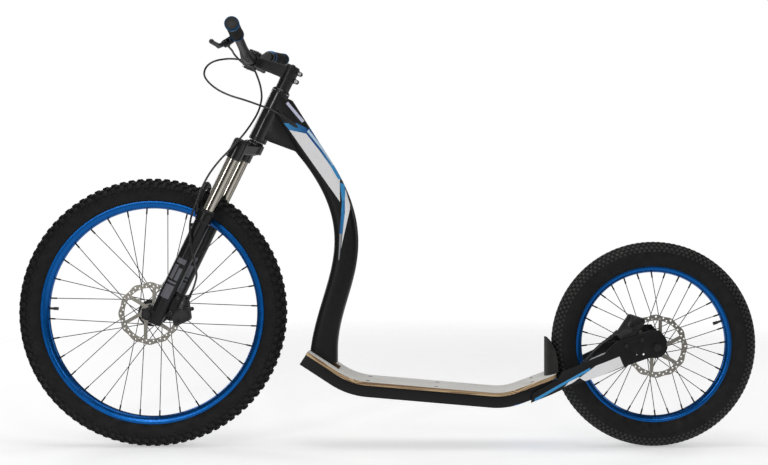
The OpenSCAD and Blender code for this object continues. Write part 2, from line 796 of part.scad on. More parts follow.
module stem_spacers() {
    each_h = spacer_h / 2;
    color("#1b1b1d") steering() {
        translate([0, 0, cover_low]) difference() {
            union() {
                cylinder(h = 3, r = head_tube_d / 2);
                translate([0, 0, 3 - eps]) cylinder(h = cover_h - 3, r1 = head_tube_d / 2 - 1,
                    r2 = steerer_d / 2 + 4);
            }
            translate([0, 0, -1]) cylinder(h = cover_h + 2, r = steerer_d / 2);
        }
        for (i = [0, 1]) translate([0, 0, cover_low + cover_h + i * each_h])
            ring(each_h, steerer_d / 2 + 3.6, steerer_d / 2);
    }
}

module top_cap() {
    color("#1b1b1d") steering() translate([0, 0, stem_high]) {
        cylinder(h = 3, r = steerer_d / 2 + 3);
        translate([0, 0, 3]) difference() {
            cylinder(h = 2.5, r = 5);
            translate([0, 0, 1]) hex(3, 5);
        }
        translate([0, 0, -26]) cylinder(h = 26 + eps, r = 3);
        translate([0, 0, -22]) cylinder(h = 3, r = steerer_d / 2 - 2.2);
    }
}

stem_clamp_r = steerer_d / 2 + 5;
stem_arm_r = 15;
bar_clamp_r = bar_clamp_d / 2 + 4;
bar_clamp_l = 46;
stem_bolt_x = 12;
stem_bolt_z = 20;
face_bolt_y = 16;
face_bolt_z = bar_clamp_d / 2 + 4.5;
face_gap = 1.2;

// Frame at the middle of the bar clamp: x points back along the stem, y across, z up
module bar_clamp_frame() {
    translate(bar_centre) rotate([0, head_angle - stem_drop, 0]) children();
}

module stem() {
    color("#141517") difference() {
        union() {
            steering() translate([0, 0, stem_low]) cylinder(h = stem_clamp_h, r = stem_clamp_r);
            steering() for (z = [9, stem_clamp_h - 9]) translate([stem_clamp_r + 3, 0, stem_low + z])
                hull() {
                rotate([90, 0, 0]) translate([2, 0, -10]) cylinder(h = 20, r = 6, $fn = hull_fn);
                rotate([90, 0, 0]) translate([-8, 0, -10]) cylinder(h = 20, r = 6, $fn = hull_fn);
            }
            hull() {
                steering() translate([-4, 0, stem_low + 4]) cylinder(h = stem_clamp_h - 8, r = stem_arm_r,
                    $fn = hull_fn);
                bar_clamp_frame() translate([22, 0, 0]) rotate([90, 0, 0])
                    translate([0, 0, -stem_arm_r]) cylinder(h = 2 * stem_arm_r, r = 13, $fn = hull_fn);
            }
            bar_clamp_frame() rotate([90, 0, 0]) translate([0, 0, -bar_clamp_l / 2])
                cylinder(h = bar_clamp_l, r = bar_clamp_r);
            bar_clamp_frame() for (y = [-face_bolt_y, face_bolt_y], z = [-face_bolt_z, face_bolt_z])
                translate([0, y, z]) rotate([0, 90, 0]) cylinder(h = 15, r = 5.5);
        }
        bar_clamp_frame() rotate([90, 0, 0]) translate([0, 0, -60]) cylinder(h = 120, r = bar_clamp_d / 2);
        bar_clamp_frame() translate([-60 + face_gap / 2, -60, -60]) cube([60, 120, 120]);
        bar_clamp_frame() for (y = [-face_bolt_y, face_bolt_y], z = [-face_bolt_z, face_bolt_z])
            translate([-20, y, z]) rotate([0, 90, 0]) cylinder(h = 32, r = 2.5);
        steering() translate([0, 0, stem_low - 1]) cylinder(h = stem_clamp_h + 2, r = steerer_d / 2);
        steering() translate([steerer_d / 2 - 3, -1, stem_low - 1]) cube([30, 2, stem_clamp_h + 2]);
        steering() for (z = [9, stem_clamp_h - 9]) translate([stem_clamp_r + 6, 0, stem_low + z])
            rotate([90, 0, 0]) translate([0, 0, -30]) cylinder(h = 60, r = 2.5);
    }
}

module stem_faceplate() {
    color("#141517") bar_clamp_frame() difference() {
        union() {
            rotate([90, 0, 0]) translate([0, 0, -bar_clamp_l / 2]) cylinder(h = bar_clamp_l,
                r = bar_clamp_r);
            for (y = [-face_bolt_y, face_bolt_y], z = [-face_bolt_z, face_bolt_z])
                translate([-9, y, z]) rotate([0, 90, 0]) cylinder(h = 9, r = 5.5);
        }
        rotate([90, 0, 0]) translate([0, 0, -60]) cylinder(h = 120, r = bar_clamp_d / 2);
        translate([-face_gap / 2, -60, -60]) cube([60, 120, 120]);
        translate([-40, -9, -9]) cube([40, 18, 18]);
        for (y = [-face_bolt_y, face_bolt_y], z = [-face_bolt_z, face_bolt_z]) {
            translate([-20, y, z]) rotate([0, 90, 0]) cylinder(h = 32, r = 2.5);
            translate([-20, y, z]) rotate([0, 90, 0]) cylinder(h = 11, r = 4.2 + part_gap);
        }
    }
}

module stem_bolts() {
    color("#9da0a3") {
        bar_clamp_frame() for (y = [-face_bolt_y, face_bolt_y], z = [-face_bolt_z, face_bolt_z])
            translate([-9, y, z]) rotate([0, -90, 0]) cap_screw(20, 2.5, 4.2, 4.5);
        steering() for (z = [9, stem_clamp_h - 9]) translate([stem_clamp_r + 6, -10, stem_low + z])
            rotate([90, 0, 0]) cap_screw(20, 2.5, 4.2, 4.5);
    }
}

// The middle of the bar, then one bend and a taper on each side; an inset gives its bore
module bar_solid(inset, longer) {
    thick = bar_clamp_d / 2 - inset;
    thin = bar_grip_d / 2 - inset;
    shoulder = bar_centre + [0, bar_shoulder_y, 0];
    knee = bar_centre + bar_knee;
    right = [shoulder, mix(shoulder, knee, 0.45), knee, bar_centre + bar_end + longer * grip_dir];
    line = concat([for (p = flip(right)) [p.x, -p.y, p.z]], right);
    radii = [thin, thin, thin, thick, thick, thin, thin, thin];
    t = tangents(line);
    n = carried(t, 0, [1, 0, 0]);
    skin([for (i = [0:len(line) - 1]) tube_ring(line[i], t[i], n[i], radii[i], bar_sides)]);
}

module handlebar() {
    color("#17181a") difference() {
        bar_solid(0, 0);
        bar_solid(bar_wall, 2);
    }
}

module grips() {
    color("#101112") both_sides() along_grip(grip_start) ring(grip_l, grip_d / 2, bar_grip_d / 2);
}

module lock_rings() {
    color("#1f8fd0") both_sides() for (y = [ring_inner_y, ring_outer_y])
        along_grip(y) ring(ring_w, ring_r, bar_grip_d / 2);
}

module bar_end_plugs() {
    color("#0f0f10") both_sides() along_grip(bar_straight_l) {
        cylinder(h = plug_t, r = bar_grip_d / 2 + 3);
        translate([0, 0, -14]) cylinder(h = 14 + eps, r = bar_grip_d / 2 - bar_wall - plug_play);
    }
}

module lever_mount() {
    grip_frame() difference() {
        union() {
            translate([0, lever_clamp_y, 0]) rotate([-90, 0, 0]) cylinder(h = lever_clamp_w,
                r = bar_grip_d / 2 + 4);
            hull() {
                translate([12, lever_clamp_y + 1, -mount_t / 2]) cube([4, lever_clamp_w - 2, mount_t]);
                translate([lever_pivot.x, lever_pivot.y, -mount_t / 2]) cylinder(h = mount_t, r = 7,
                    $fn = hull_fn);
                translate([26, lever_clamp_y - 12, -mount_t / 2 + 3]) cube([9, 6, mount_t - 6]);
            }
            translate([-13, lever_clamp_y + 1, -9]) cube([6, lever_clamp_w - 2, 18]);
            translate([30, lever_clamp_y - 10, 0]) rotate([90, 0, 0]) cylinder(h = adjuster_l,
                r = adjuster_r);
            translate([30, lever_clamp_y - 14, 0]) rotate([90, 0, 0]) cylinder(h = 6, r = adjuster_r + 2);
            translate([lever_pivot.x, lever_pivot.y, -mount_t / 2 - 1]) cylinder(h = mount_t + 2,
                r = lever_pin_r + 1);
        }
        translate([0, lever_clamp_y - 1, 0]) rotate([-90, 0, 0]) cylinder(h = lever_clamp_w + 2,
            r = bar_grip_d / 2);
        difference() {
            translate([22, lever_clamp_y - 5, -blade_t / 2 - part_gap]) cube([40, 60,
                blade_t + 2 * part_gap]);
            translate([lever_pivot.x, lever_pivot.y, -mount_t]) cylinder(h = 2 * mount_t, r = lever_pin_r);
        }
    }
}

module left_lever_mount() {
    color("#141517") mirror([0, 1, 0]) lever_mount();
}

module right_lever_mount() {
    color("#141517") lever_mount();
}

module blade_disc(x, y, r, t) {
    translate([x, y, -t / 2]) cylinder(h = t, r = r, $fn = hull_fn);
}

module lever_blade() {
    p = lever_pivot;
    bend = [p.x + 17, p.y + 18];
    tip = [p.x + 26, p.y + blade_l];
    grip_frame() difference() {
        union() {
            translate([p.x, p.y, -blade_t / 2]) cylinder(h = blade_t, r = 8);
            hull() {
                blade_disc(p.x + 2, p.y + 2, 6, blade_t);
                blade_disc(bend.x, bend.y, 5, blade_t);
            }
            hull() {
                blade_disc(bend.x, bend.y, 5, blade_t);
                blade_disc(bend.x + 4, mix(bend.y, tip.y, 0.45), 4, blade_t);
            }
            hull() {
                blade_disc(bend.x + 4, mix(bend.y, tip.y, 0.45), 4, blade_t);
                blade_disc(tip.x, tip.y - 6, 4, blade_t);
            }
            translate([tip.x, tip.y, 0]) sphere(r = 6);
        }
        translate([p.x, p.y, -blade_t]) cylinder(h = 2 * blade_t, r = lever_pin_r + run_gap);
    }
}

module left_brake_lever() {
    color("#17181a") mirror([0, 1, 0]) lever_blade();
}

module right_brake_lever() {
    color("#17181a") lever_blade();
}

module front_brake_hose() {
    line = smooth_line(front_hose_route, 2);
    color("#0c0c0d") skin(tube_rings(line, hose_d / 2, 8, [0, 0, 1]));
}

module rear_brake_hose() {
    line = smooth_line(rear_hose_route, 1);
    color("#0c0c0d") skin(tube_rings(line, hose_d / 2, 8, [0, 0, 1]));
}

module fork_spring() {
    low = spring_seat_z + 3;
    high = crown_leg_top - cap_plug_h;
    wire = 1.6;
    coil = stanchion_bore_r - wire - 0.8;
    turns = 16;
    steps = 10;
    count = turns * steps;
    line = [for (i = [0:count]) [coil * cos(360 * i / steps), coil * sin(360 * i / steps),
        mix(low + wire, high - wire, i / count)]];
    color("#7f8285") at_leg(-1) skin(tube_rings(line, wire, 6, [0, 0, 1]));
}

module damper_cartridge() {
    color("#a4a6a8") at_leg(1) difference() {
        translate([0, 0, cartridge_low]) cylinder(h = crown_leg_top - cap_plug_h - cartridge_low,
            r = stanchion_bore_r);
        translate([0, 0, cartridge_low + 10])
            cylinder(h = crown_leg_top - cap_plug_h - cartridge_low - 16,
                r = stanchion_bore_r - cartridge_wall);
        translate([0, 0, cartridge_low - 1]) cylinder(h = 12, r = rod_r + run_gap);
    }
}

// ==================== fork slider part ====================
arch_r = 7;
arch_half = from_point([0, leg_y, seal_z], [[-30, -2, -26], [-46, -3, -12], [-54, -6, 6], [-58, -14, 24],
    [-62, -26, 43], [-65, -42, 54]]);
arch_route = concat(arch_half, [[-66, 0, seal_z + 58]], [for (p = flip(arch_half)) [p.x, -p.y, p.z]]);
tab_y = front_old / 2;

module fork_lowers() {
    axle_x = -rake;
    color("#17181a") steering() difference() {
        union() {
            for (s = [-1, 1]) translate([-stanchion_lead, s * leg_y, leg_foot_low])
                cylinder(h = seal_z - leg_foot_low, r = leg_d / 2);
            for (s = [-1, 1]) translate([-stanchion_lead, s * leg_y, seal_z - 26])
                cylinder(h = 26, r = leg_d / 2 + 1.5);
            for (s = [-1, 1]) hull() {
                translate([axle_x, s * (front_old / 2 + dropout_t / 2), 0]) rotate([90, 0, 0])
                    translate([0, 0, -dropout_t / 2]) cylinder(h = dropout_t, r = 16, $fn = hull_fn);
                translate([-stanchion_lead - 6, s * (front_old / 2 + dropout_t / 2), 26]) rotate([90, 0, 0])
                    translate([0, 0, -dropout_t / 2]) cylinder(h = dropout_t, r = 14, $fn = hull_fn);
            }
            skin(tube_rings(arch_route, arch_r, 12, [1, 0, 0]));
            hull() {
                translate([-10, -tab_y - dropout_t, 16]) cube([4, dropout_t, 68]);
                translate([8, -tab_y - dropout_t, 21]) cube([4, dropout_t, 60]);
            }
            translate([-stanchion_lead - leg_d / 2 + 3, -leg_y, seal_z - 46]) rotate([0, -90, 0])
                cylinder(h = 7, r = 5);
        }
        for (s = [-1, 1]) translate([-stanchion_lead, s * leg_y, leg_bore_low])
            cylinder(h = seal_z, r = stanchion_r + run_gap);
        for (s = [-1, 1]) translate([-stanchion_lead, s * leg_y, leg_foot_low - 1])
            cylinder(h = 60, r = foot_bolt_r);
        translate([axle_x, 0, 0]) rotate([90, 0, 0]) translate([0, 0, -100]) cylinder(h = 200, r = axle_r);
        translate([axle_x, 0, 0]) rotate([90, 0, 0]) translate([0, 0, -front_old / 2])
            cylinder(h = front_old, r = 19);
        for (s = [-1, 1]) translate([axle_x - 30, s * (front_old / 2 + dropout_t) - (s < 0 ? 40 : 0), -30])
            cube([48, 40, 48]);
        front_caliper_bolt_holes();
    }
}

module front_caliper_bolt_holes() {
    rotate([0, -head_angle, 0]) translate(-axis_foot) front_hub_frame()
        caliper_bolt_places(front_caliper_a, front_caliper_bolts) cylinder(h = front_old,
            r = caliper_bolt_r);
}

module fork_seals() {
    color("#0e0e0f") at_legs() translate([0, 0, seal_z]) ring(seal_h, stanchion_r + 2.5,
        stanchion_r + run_gap);
}

module fork_rods() {
    color("#c2c4c6") {
        at_leg(-1) {
            translate([0, 0, leg_bore_low]) cylinder(h = spring_seat_z - leg_bore_low, r = rod_r + 1);
            translate([0, 0, spring_seat_z - eps]) cylinder(h = 3, r = stanchion_bore_r - 0.5);
        }
        at_leg(1) {
            translate([0, 0, leg_bore_low]) cylinder(h = piston_z - leg_bore_low, r = rod_r);
            translate([0, 0, piston_z - eps]) cylinder(h = 12,
                r = stanchion_bore_r - cartridge_wall - run_gap);
        }
        at_legs() {
            translate([0, 0, leg_foot_low]) cylinder(h = leg_bore_low - leg_foot_low + eps,
                r = foot_bolt_r);
            translate([0, 0, leg_foot_low - 4]) cylinder(h = 4 + eps, r = foot_bolt_head_r);
        }
    }
}

module axle_set(old, plate, reach) {
    translate([0, 0, -reach]) cylinder(h = 2 * reach, r = axle_r);
    for (s = [0, 1]) mirror([0, 0, s]) {
        translate([0, 0, old / 2 - hub_end_gap + part_gap]) ring(hub_end_gap - part_gap, axle_r + 3,
            axle_r);
        translate([0, 0, old / 2 + plate]) ring(1.5, axle_r + 6, axle_r);
        translate([0, 0, old / 2 + plate + 1.5]) difference() {
            hex(nut_h, axle_d * 1.7);
            cylinder(h = 30, r = axle_r);
        }
    }
}

module front_axle() {
    color("#b4b6b8") front_hub_frame() axle_set(front_old, dropout_t,
        front_old / 2 + dropout_t + nut_h + 4);
}

module rear_axle() {
    color("#b4b6b8") rear_hub_frame() axle_set(rear_old, stay_t, rear_old / 2 + stay_t + nut_h + 4);
}

// ==================== brakes ====================
caliper_bolt_r = 3;
caliper_bolt_head_h = 4;
mount_plate_t = 6;

// Caliper frame: x runs out from the axle, y runs round it, z points to the rider's left
module caliper_frame(angle) {
    rotate([0, 0, angle]) children();
}

module caliper_bolt_places(angle, bolts) {
    caliper_frame(angle) for (p = bolts) translate([p.x, p.y, 0]) children();
}

module caliper_body(rotor_z, mount_z, angle, bolts, stop_a, bolt_l) {
    back = rotor_z - caliper_depth_in;
    front = rotor_z + caliper_depth_out;
    pocket = [pad_size.x + 2 * pad_play, pad_size.y + 2 * pad_play, rotor_t + 2 * pad_gap + 2 * pad_t];
    difference() {
        union() {
            caliper_frame(angle) {
                hull() for (x = [66, 94], y = [-1, 1]) translate([x,
                    y * (caliper_half_l - (x > 80 ? 12 : 4)), back + 1])
                    cylinder(h = front - back - 1, r = 8, $fn = hull_fn);
                translate([arm_pivot_r, 0, front - eps]) cylinder(h = 2, r = arm_hub_r + 1);
                translate([stop_at.x, stop_at.y, rotor_z + stop_side]) rotate([0, 90, stop_a - angle])
                    ring(stop_l, 4.5, hose_d / 2 - 1);
            }
            caliper_frame(angle) hull() {
                for (p = bolts) translate([p.x, p.y, mount_z - mount_plate_t])
                    cylinder(h = mount_plate_t, r = 7, $fn = hull_fn);
                translate([72, 14, mount_z - mount_plate_t]) cylinder(h = 3, r = 10, $fn = hull_fn);
            }
            caliper_bolt_places(angle, bolts) translate([0, 0, mount_z - 1]) {
                cylinder(h = bolt_l + 1 + eps, r = caliper_bolt_r);
                translate([0, 0, bolt_l + 1]) difference() {
                    cylinder(h = caliper_bolt_head_h, r = 5);
                    translate([0, 0, 1.5]) hex(5, 5);
                }
            }
        }
        translate([0, 0, rotor_z - rotor_t / 2 - 1.5]) cylinder(h = rotor_t + 3, r = rotor_d / 2 + 3);
        caliper_frame(angle) translate([pad_r - pocket.x / 2, -pocket.y / 2, rotor_z - pocket.z / 2])
            cube(pocket);
        caliper_frame(angle) translate([arm_pivot_r, 0, front - 5]) cylinder(h = 20,
            r = arm_pin_r + run_gap);
    }
    caliper_frame(angle) translate([pad_r - pad_size.x / 2, -pad_size.y / 2, rotor_z - pocket.z / 2])
        cube([pad_size.x, pad_size.y, pad_t]);
}

module moving_pad(rotor_z, angle) {
    caliper_frame(angle) translate([pad_r - pad_size.x / 2, -pad_size.y / 2,
        rotor_z + rotor_t / 2 + pad_gap])
        cube([pad_size.x, pad_size.y, pad_t]);
}

module caliper_arm(rotor_z, angle, arm_a) {
    top = rotor_z + caliper_depth_out + 2 + part_gap;
    pivot = arm_pivot_r * [cos(angle), sin(angle)];
    translate([pivot.x, pivot.y, top]) {
        cylinder(h = arm_t, r = arm_hub_r);
        translate([0, 0, -part_gap - 2 - 4.5]) cylinder(h = 8, r = arm_pin_r);
        translate([0, 0, arm_t - eps]) difference() {
            cylinder(h = 3, r = 5.5);
            translate([0, 0, 1]) hex(4, 5);
        }
        rotate([0, 0, arm_a]) {
            hull() {
                translate([4, 0, 0.5]) cylinder(h = arm_t - 1, r = 6, $fn = hull_fn);
                translate([arm_l, 0, 0.5]) cylinder(h = arm_t - 1, r = 5, $fn = hull_fn);
            }
            translate([arm_l, 0, -1]) cylinder(h = arm_t + 4, r = 3);
        }
    }
}

module front_caliper() {
    color("#1a1a1c") difference() {
        front_hub_frame() caliper_body(front_rotor_z, front_old / 2, front_caliper_a, front_caliper_bolts,
            front_stop_a, dropout_t);
        at_leg(-1) cylinder(h = seal_z, r = leg_d / 2 + part_gap);
    }
}

module rear_caliper() {
    color("#1a1a1c") rear_hub_frame()
        caliper_body(rear_rotor_z, rear_old / 2, rear_caliper_a, rear_caliper_bolts, rear_stop_a, stay_t);
}

module front_moving_pad() {
    color("#8b6f4a") front_hub_frame() moving_pad(front_rotor_z, front_caliper_a);
}

module rear_moving_pad() {
    color("#8b6f4a") rear_hub_frame() moving_pad(rear_rotor_z, rear_caliper_a);
}

module front_caliper_arm() {
    color("#232426") front_hub_frame() caliper_arm(front_rotor_z, front_caliper_a, front_arm_a);
}

module rear_caliper_arm() {
    color("#232426") rear_hub_frame() caliper_arm(rear_rotor_z, rear_caliper_a, rear_arm_a);
}

// ==================== wheels ====================
module tyre(outer_r, width, flange_r) {
    half = width / 2;
    seat_r = flange_r - rim_seat_drop;
    lip_half = rim_w / 2 - rim_lip;
    rotate_extrude($fn = 128) difference() {
        union() {
            translate([outer_r - half, 0]) circle(r = half);
            for (s = [-1, 1]) translate([seat_r, s > 0 ? lip_half - bead_w : -lip_half])
                square([flange_r - seat_r + 5, bead_w]);
        }
        translate([outer_r - half - tread_extra, 0]) circle(r = half - casing_t);
        translate([0, bead_w - lip_half]) square([flange_r + 8, 2 * (lip_half - bead_w)]);
        for (s = [0, 1]) mirror([0, s]) translate([0, lip_half]) square([flange_r + 0.1, 2 * half]);
        translate([0, -half]) square([seat_r, 2 * half]);
    }
}

module inner_tube(outer_r, width, rim_in, valve_a) {
    half = width / 2 - casing_t - 0.3;
    middle_r = outer_r - width / 2 - tread_extra;
    stem_end = rim_in - valve_l + 8;
    rotate_extrude($fn = 96) translate([middle_r, 0]) difference() {
        circle(r = half);
        circle(r = half - inner_tube_t);
    }
    rotate([0, 0, valve_a]) {
        translate([stem_end, 0, 0]) rotate([0, 90, 0])
            cylinder(h = middle_r - half + inner_tube_t / 2 - stem_end, r = valve_r);
        translate([stem_end - 8, 0, 0]) rotate([0, 90, 0]) cylinder(h = 12, r = valve_r + 1);
    }
}

// One spoke's own frame: z runs from its hub flange to its nipple
function hub_point(i, flanges, circle_r, cross_a, first_a) =
    let (left = i % 2 == 0, lead = floor(i / 2) % 2 == 0,
        a = first_a + i * pitch + (lead ? cross_a : -cross_a))
    let (face = flanges[left ? 0 : 1], out = (left ? 1 : -1) * (lead ? 1 : -1))
    [circle_r * cos(a), circle_r * sin(a), face + out * (hub_flange_t / 2 + spoke_r + 0.15)];
function rim_point(i, rim_in_r, first_a) =
    let (a = first_a + i * pitch) [rim_in_r * cos(a), rim_in_r * sin(a),
        (i % 2 == 0 ? 1 : -1) * spoke_stagger];

module spoke_frame(i, flanges, circle_r, cross_a, first_a, rim_in_r) {
    p = hub_point(i, flanges, circle_r, cross_a, first_a);
    d = rim_point(i, rim_in_r, first_a) - p;
    translate(p) rotate([0, acos(d.z / norm(d)), atan2(d.y, d.x)]) children();
}

function spoke_length(i, flanges, circle_r, cross_a, first_a, rim_in_r) =
    norm(rim_point(i, rim_in_r, first_a) - hub_point(i, flanges, circle_r, cross_a, first_a));

module spoke_set(flanges, circle_r, cross_a, first_a, rim_in_r) {
    for (i = [0:spokes - 1]) {
        p = hub_point(i, flanges, circle_r, cross_a, first_a);
        l = spoke_length(i, flanges, circle_r, cross_a, first_a, rim_in_r);
        face = flanges[i % 2];
        union() {
            translate(p) sphere(r = spoke_r + 0.15, $fn = 24);
            spoke_frame(i, flanges, circle_r, cross_a, first_a, rim_in_r)
                cylinder(h = l - nipple_l + 4, r = spoke_r, $fn = 24);
            translate([p.x, p.y, min(p.z, 2 * face - p.z)])
                cylinder(h = 2 * abs(face - p.z), r = spoke_r, $fn = 24);
            translate([p.x, p.y, 2 * face - p.z + (p.z > face ? -0.6 : -0.4)]) cylinder(h = 1,
                r = spoke_r + 0.8, $fn = 24);
        }
        spoke_frame(i, flanges, circle_r, cross_a, first_a, rim_in_r) translate([0, 0, l - nipple_l])
            difference() {
            union() {
                cylinder(h = nipple_l + 1, r = nipple_r, $fn = 24);
                translate([0, 0, nipple_l + 1]) cylinder(h = 2, r = nipple_head_r, $fn = 24);
            }
            translate([0, 0, -1]) cylinder(h = 5.2, r = spoke_r + run_gap, $fn = 24);
        }
    }
}

module rim(flange_r, low, flanges, circle_r, cross_a, first_a, valve_a) {
    half = rim_w / 2;
    lip = half - rim_lip;
    seat_r = flange_r - rim_seat_drop;
    difference() {
        rotate_extrude($fn = 128) difference() {
            polygon([[flange_r, half - 0.8], [flange_r - 0.8, half], [low + 6, half - 1.5], [low + 1.5,
                half - 5],
                [low, half - 9], [low, -half + 9], [low + 1.5, -half + 5], [low + 6, -half + 1.5],
                [flange_r - 0.8, -half], [flange_r, -half + 0.8], [flange_r, -lip], [seat_r, -lip],
                [seat_r, lip], [flange_r, lip]]);
            polygon([[low + rim_wall, half - 9], [seat_r - rim_wall, half - 6], [seat_r - rim_wall,
                -half + 6],
                [low + rim_wall, -half + 9]]);
        }
        for (i = [0:spokes - 1]) {
            l = spoke_length(i, flanges, circle_r, cross_a, first_a, low);
            spoke_frame(i, flanges, circle_r, cross_a, first_a, low) {
                translate([0, 0, l - 6]) cylinder(h = 12, r = nipple_r + 0.15, $fn = 24);
                translate([0, 0, l + 1]) cylinder(h = 14, r = nipple_head_r + 0.3, $fn = 24);
            }
        }
        rotate([0, 0, valve_a]) translate([low - 5, 0, 0]) rotate([0, 90, 0]) cylinder(h = 30,
            r = valve_r + 0.1);
    }
}

module hub(old, flanges, circle_r, cross_a, first_a, rotor_z) {
    end = old / 2 - hub_end_gap;
    seat = rotor_z - rotor_t / 2;
    color("#1a1b1d") difference() {
        union() {
            translate([0, 0, -end]) cylinder(h = 2 * end, r = hub_barrel_r);
            for (f = flanges) translate([0, 0, f - hub_flange_t / 2]) cylinder(h = hub_flange_t,
                r = circle_r + 4);
            for (s = [0, 1]) let (f = flanges[s], k = s == 0 ? -1 : 1)
                translate([0, 0, k < 0 ? f - 10 : f]) cylinder(h = 10,
                    r1 = k < 0 ? hub_barrel_r : circle_r - 5,
                    r2 = k < 0 ? circle_r - 5 : hub_barrel_r);
            translate([0, 0, flanges[0]]) cylinder(h = seat - flanges[0], r = rotor_seat_r);
        }
        translate([0, 0, -old]) cylinder(h = 2 * old, r = axle_r + 2);
        for (s = [0, 1]) mirror([0, 0, s]) translate([0, 0, end - bearing_h]) cylinder(h = bearing_h + 1,
            r = bearing_od_r);
        for (i = [0:spokes - 1]) let (p = hub_point(i, flanges, circle_r, cross_a, first_a),
            f = flanges[i % 2])
            translate([p.x, p.y, f - hub_flange_t]) cylinder(h = 2 * hub_flange_t, r = spoke_r + 0.15,
                $fn = 24);
        for (k = [0:5]) rotate([0, 0, 60 * k + 30]) translate([rotor_bolt_circle - 2.5, 0, seat - 9])
            cylinder(h = 12, r = rotor_bolt_r);
    }
}

module bearings(old) {
    end = old / 2 - hub_end_gap;
    for (s = [0, 1]) mirror([0, 0, s]) translate([0, 0, end - bearing_h])
        ring(bearing_h, bearing_od_r, axle_r + run_gap);
}

rotor_waves = 12;
rotor_arms = 6;

// Wavy rotor with a drilled brake track and slanted arms
module rotor_shape() {
    outer = rotor_d / 2;
    track = 15;
    difference() {
        polygon([for (a = [0:3:357]) (outer - 1.6 + 1.6 * cos(rotor_waves * a)) * [cos(a), sin(a)]]);
        for (k = [0:rotor_waves - 1]) rotate(360 / rotor_waves * k) {
            translate([outer - 5.5, 0]) circle(r = 2.5);
            rotate(7.5) translate([outer - 11, 0]) circle(r = 2.2);
            rotate(15) translate([outer - 7, 0]) circle(r = 2.2);
            rotate(22.5) translate([outer - 11, 0]) circle(r = 2.2);
        }
        difference() {
            circle(r = outer - track);
            circle(r = rotor_seat_r + 1.5);
            for (k = [0:rotor_arms - 1]) rotate(360 / rotor_arms * k) polygon([[rotor_seat_r - 4, -6],
                [rotor_seat_r - 2, 6], [outer - track + 1, 30], [outer - track + 4, 22]]);
        }
        circle(r = hub_barrel_r + 0.2);
        for (k = [0:5]) rotate(60 * k + 30) translate([rotor_bolt_circle - 2.5, 0])
            circle(r = rotor_bolt_r);
    }
}

module rotor(rotor_z) {
    translate([0, 0, rotor_z - rotor_t / 2]) linear_extrude(rotor_t) rotor_shape();
}

module rotor_bolts(rotor_z) {
    for (k = [0:5]) rotate([0, 0, 60 * k + 30]) translate([rotor_bolt_circle - 2.5, 0,
        rotor_z + rotor_t / 2])
        cap_screw(8, rotor_bolt_r, 4, 2.2);
}

front_cross_a = 3 * 2 * pitch;
rear_cross_a = 2 * 2 * pitch;
front_first_a = front_valve_a + pitch / 2;
rear_first_a = rear_valve_a + pitch / 2;
front_rim_in = front_flange_r - rim_depth_front;
rear_rim_in = rear_flange_r - rim_depth_rear;

module front_tyre() {
    color("#1b1b1c") front_hub_frame() tyre(front_r, front_tyre_w, front_flange_r);
}

module front_inner_tube() {
    color("#101010") front_hub_frame() inner_tube(front_r, front_tyre_w, front_rim_in, front_valve_a);
}

module front_rim() {
    color("#0d4fa8") front_hub_frame()
        rim(front_flange_r, front_rim_in, front_flanges, front_spoke_circle, front_cross_a, front_first_a,
            front_valve_a);
}

module front_spokes() {
    color("#222222") front_hub_frame()
        spoke_set(front_flanges, front_spoke_circle, front_cross_a, front_first_a, front_rim_in);
}

module front_hub() {
    front_hub_frame() hub(front_old, front_flanges, front_spoke_circle, front_cross_a, front_first_a,
        front_rotor_z);
}

module front_bearings() {
    color("#9a9c9e") front_hub_frame() bearings(front_old);
}

module front_rotor() {
    color("#b9b6a6") front_hub_frame() rotor(front_rotor_z);
}

module front_rotor_bolts() {
    color("#2a2a2c") front_hub_frame() rotor_bolts(front_rotor_z);
}

module rear_tyre() {
    color("#1b1b1c") rear_hub_frame() tyre(rear_r, rear_tyre_w, rear_flange_r);
}

module rear_inner_tube() {
    color("#101010") rear_hub_frame() inner_tube(rear_r, rear_tyre_w, rear_rim_in, rear_valve_a);
}

module rear_rim() {
    color("#0d4fa8") rear_hub_frame()
        rim(rear_flange_r, rear_rim_in, rear_flanges, rear_spoke_circle, rear_cross_a, rear_first_a,
            rear_valve_a);
}

module rear_spokes() {
    color("#222222") rear_hub_frame()
        spoke_set(rear_flanges, rear_spoke_circle, rear_cross_a, rear_first_a, rear_rim_in);
}

module rear_hub() {
    rear_hub_frame() hub(rear_old, rear_flanges, rear_spoke_circle, rear_cross_a, rear_first_a,
        rear_rotor_z);
}

module rear_bearings() {
    color("#9a9c9e") rear_hub_frame() bearings(rear_old);
}

module rear_rotor() {
    color("#b9b6a6") rear_hub_frame() rotor(rear_rotor_z);
}

module rear_rotor_bolts() {
    color("#2a2a2c") rear_hub_frame() rotor_bolts(rear_rotor_z);
}

// ==================== what is drawn ====================
head_tube();
main_tube();
head_gusset();
deck_base();
left_stay();
right_stay();
deck_board();
deck_bolts();
heel_guard();
headset_cups();
headset_bearings();
rear_axle();
rear_caliper();
rear_brake_hose();
hose_grommets();
steerer_tube();
fork_crown();
stanchions();
fork_top_caps();
stem_spacers();
top_cap();
stem();
stem_faceplate();
stem_bolts();
handlebar();
grips();
lock_rings();
bar_end_plugs();
left_lever_mount();
right_lever_mount();
front_brake_hose();
fork_spring();
damper_cartridge();
fork_lowers();
fork_seals();
fork_rods();
front_axle();
front_caliper();
front_tyre();
front_inner_tube();
front_rim();
front_spokes();
front_hub();
front_bearings();
front_rotor();
front_rotor_bolts();
rear_tyre();
rear_inner_tube();
rear_rim();
rear_spokes();
rear_hub();
rear_bearings();
rear_rotor();
rear_rotor_bolts();
left_brake_lever();
right_brake_lever();
front_caliper_arm();
rear_caliper_arm();
front_moving_pad();
rear_moving_pad();
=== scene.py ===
"""Looks of the kick scooter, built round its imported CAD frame.

Every size is in millimetres until it becomes a mesh, which is in metres.
"""

import logging
import math
from dataclasses import dataclass, field
from enum import Enum
from typing import Any, Iterable, Sequence

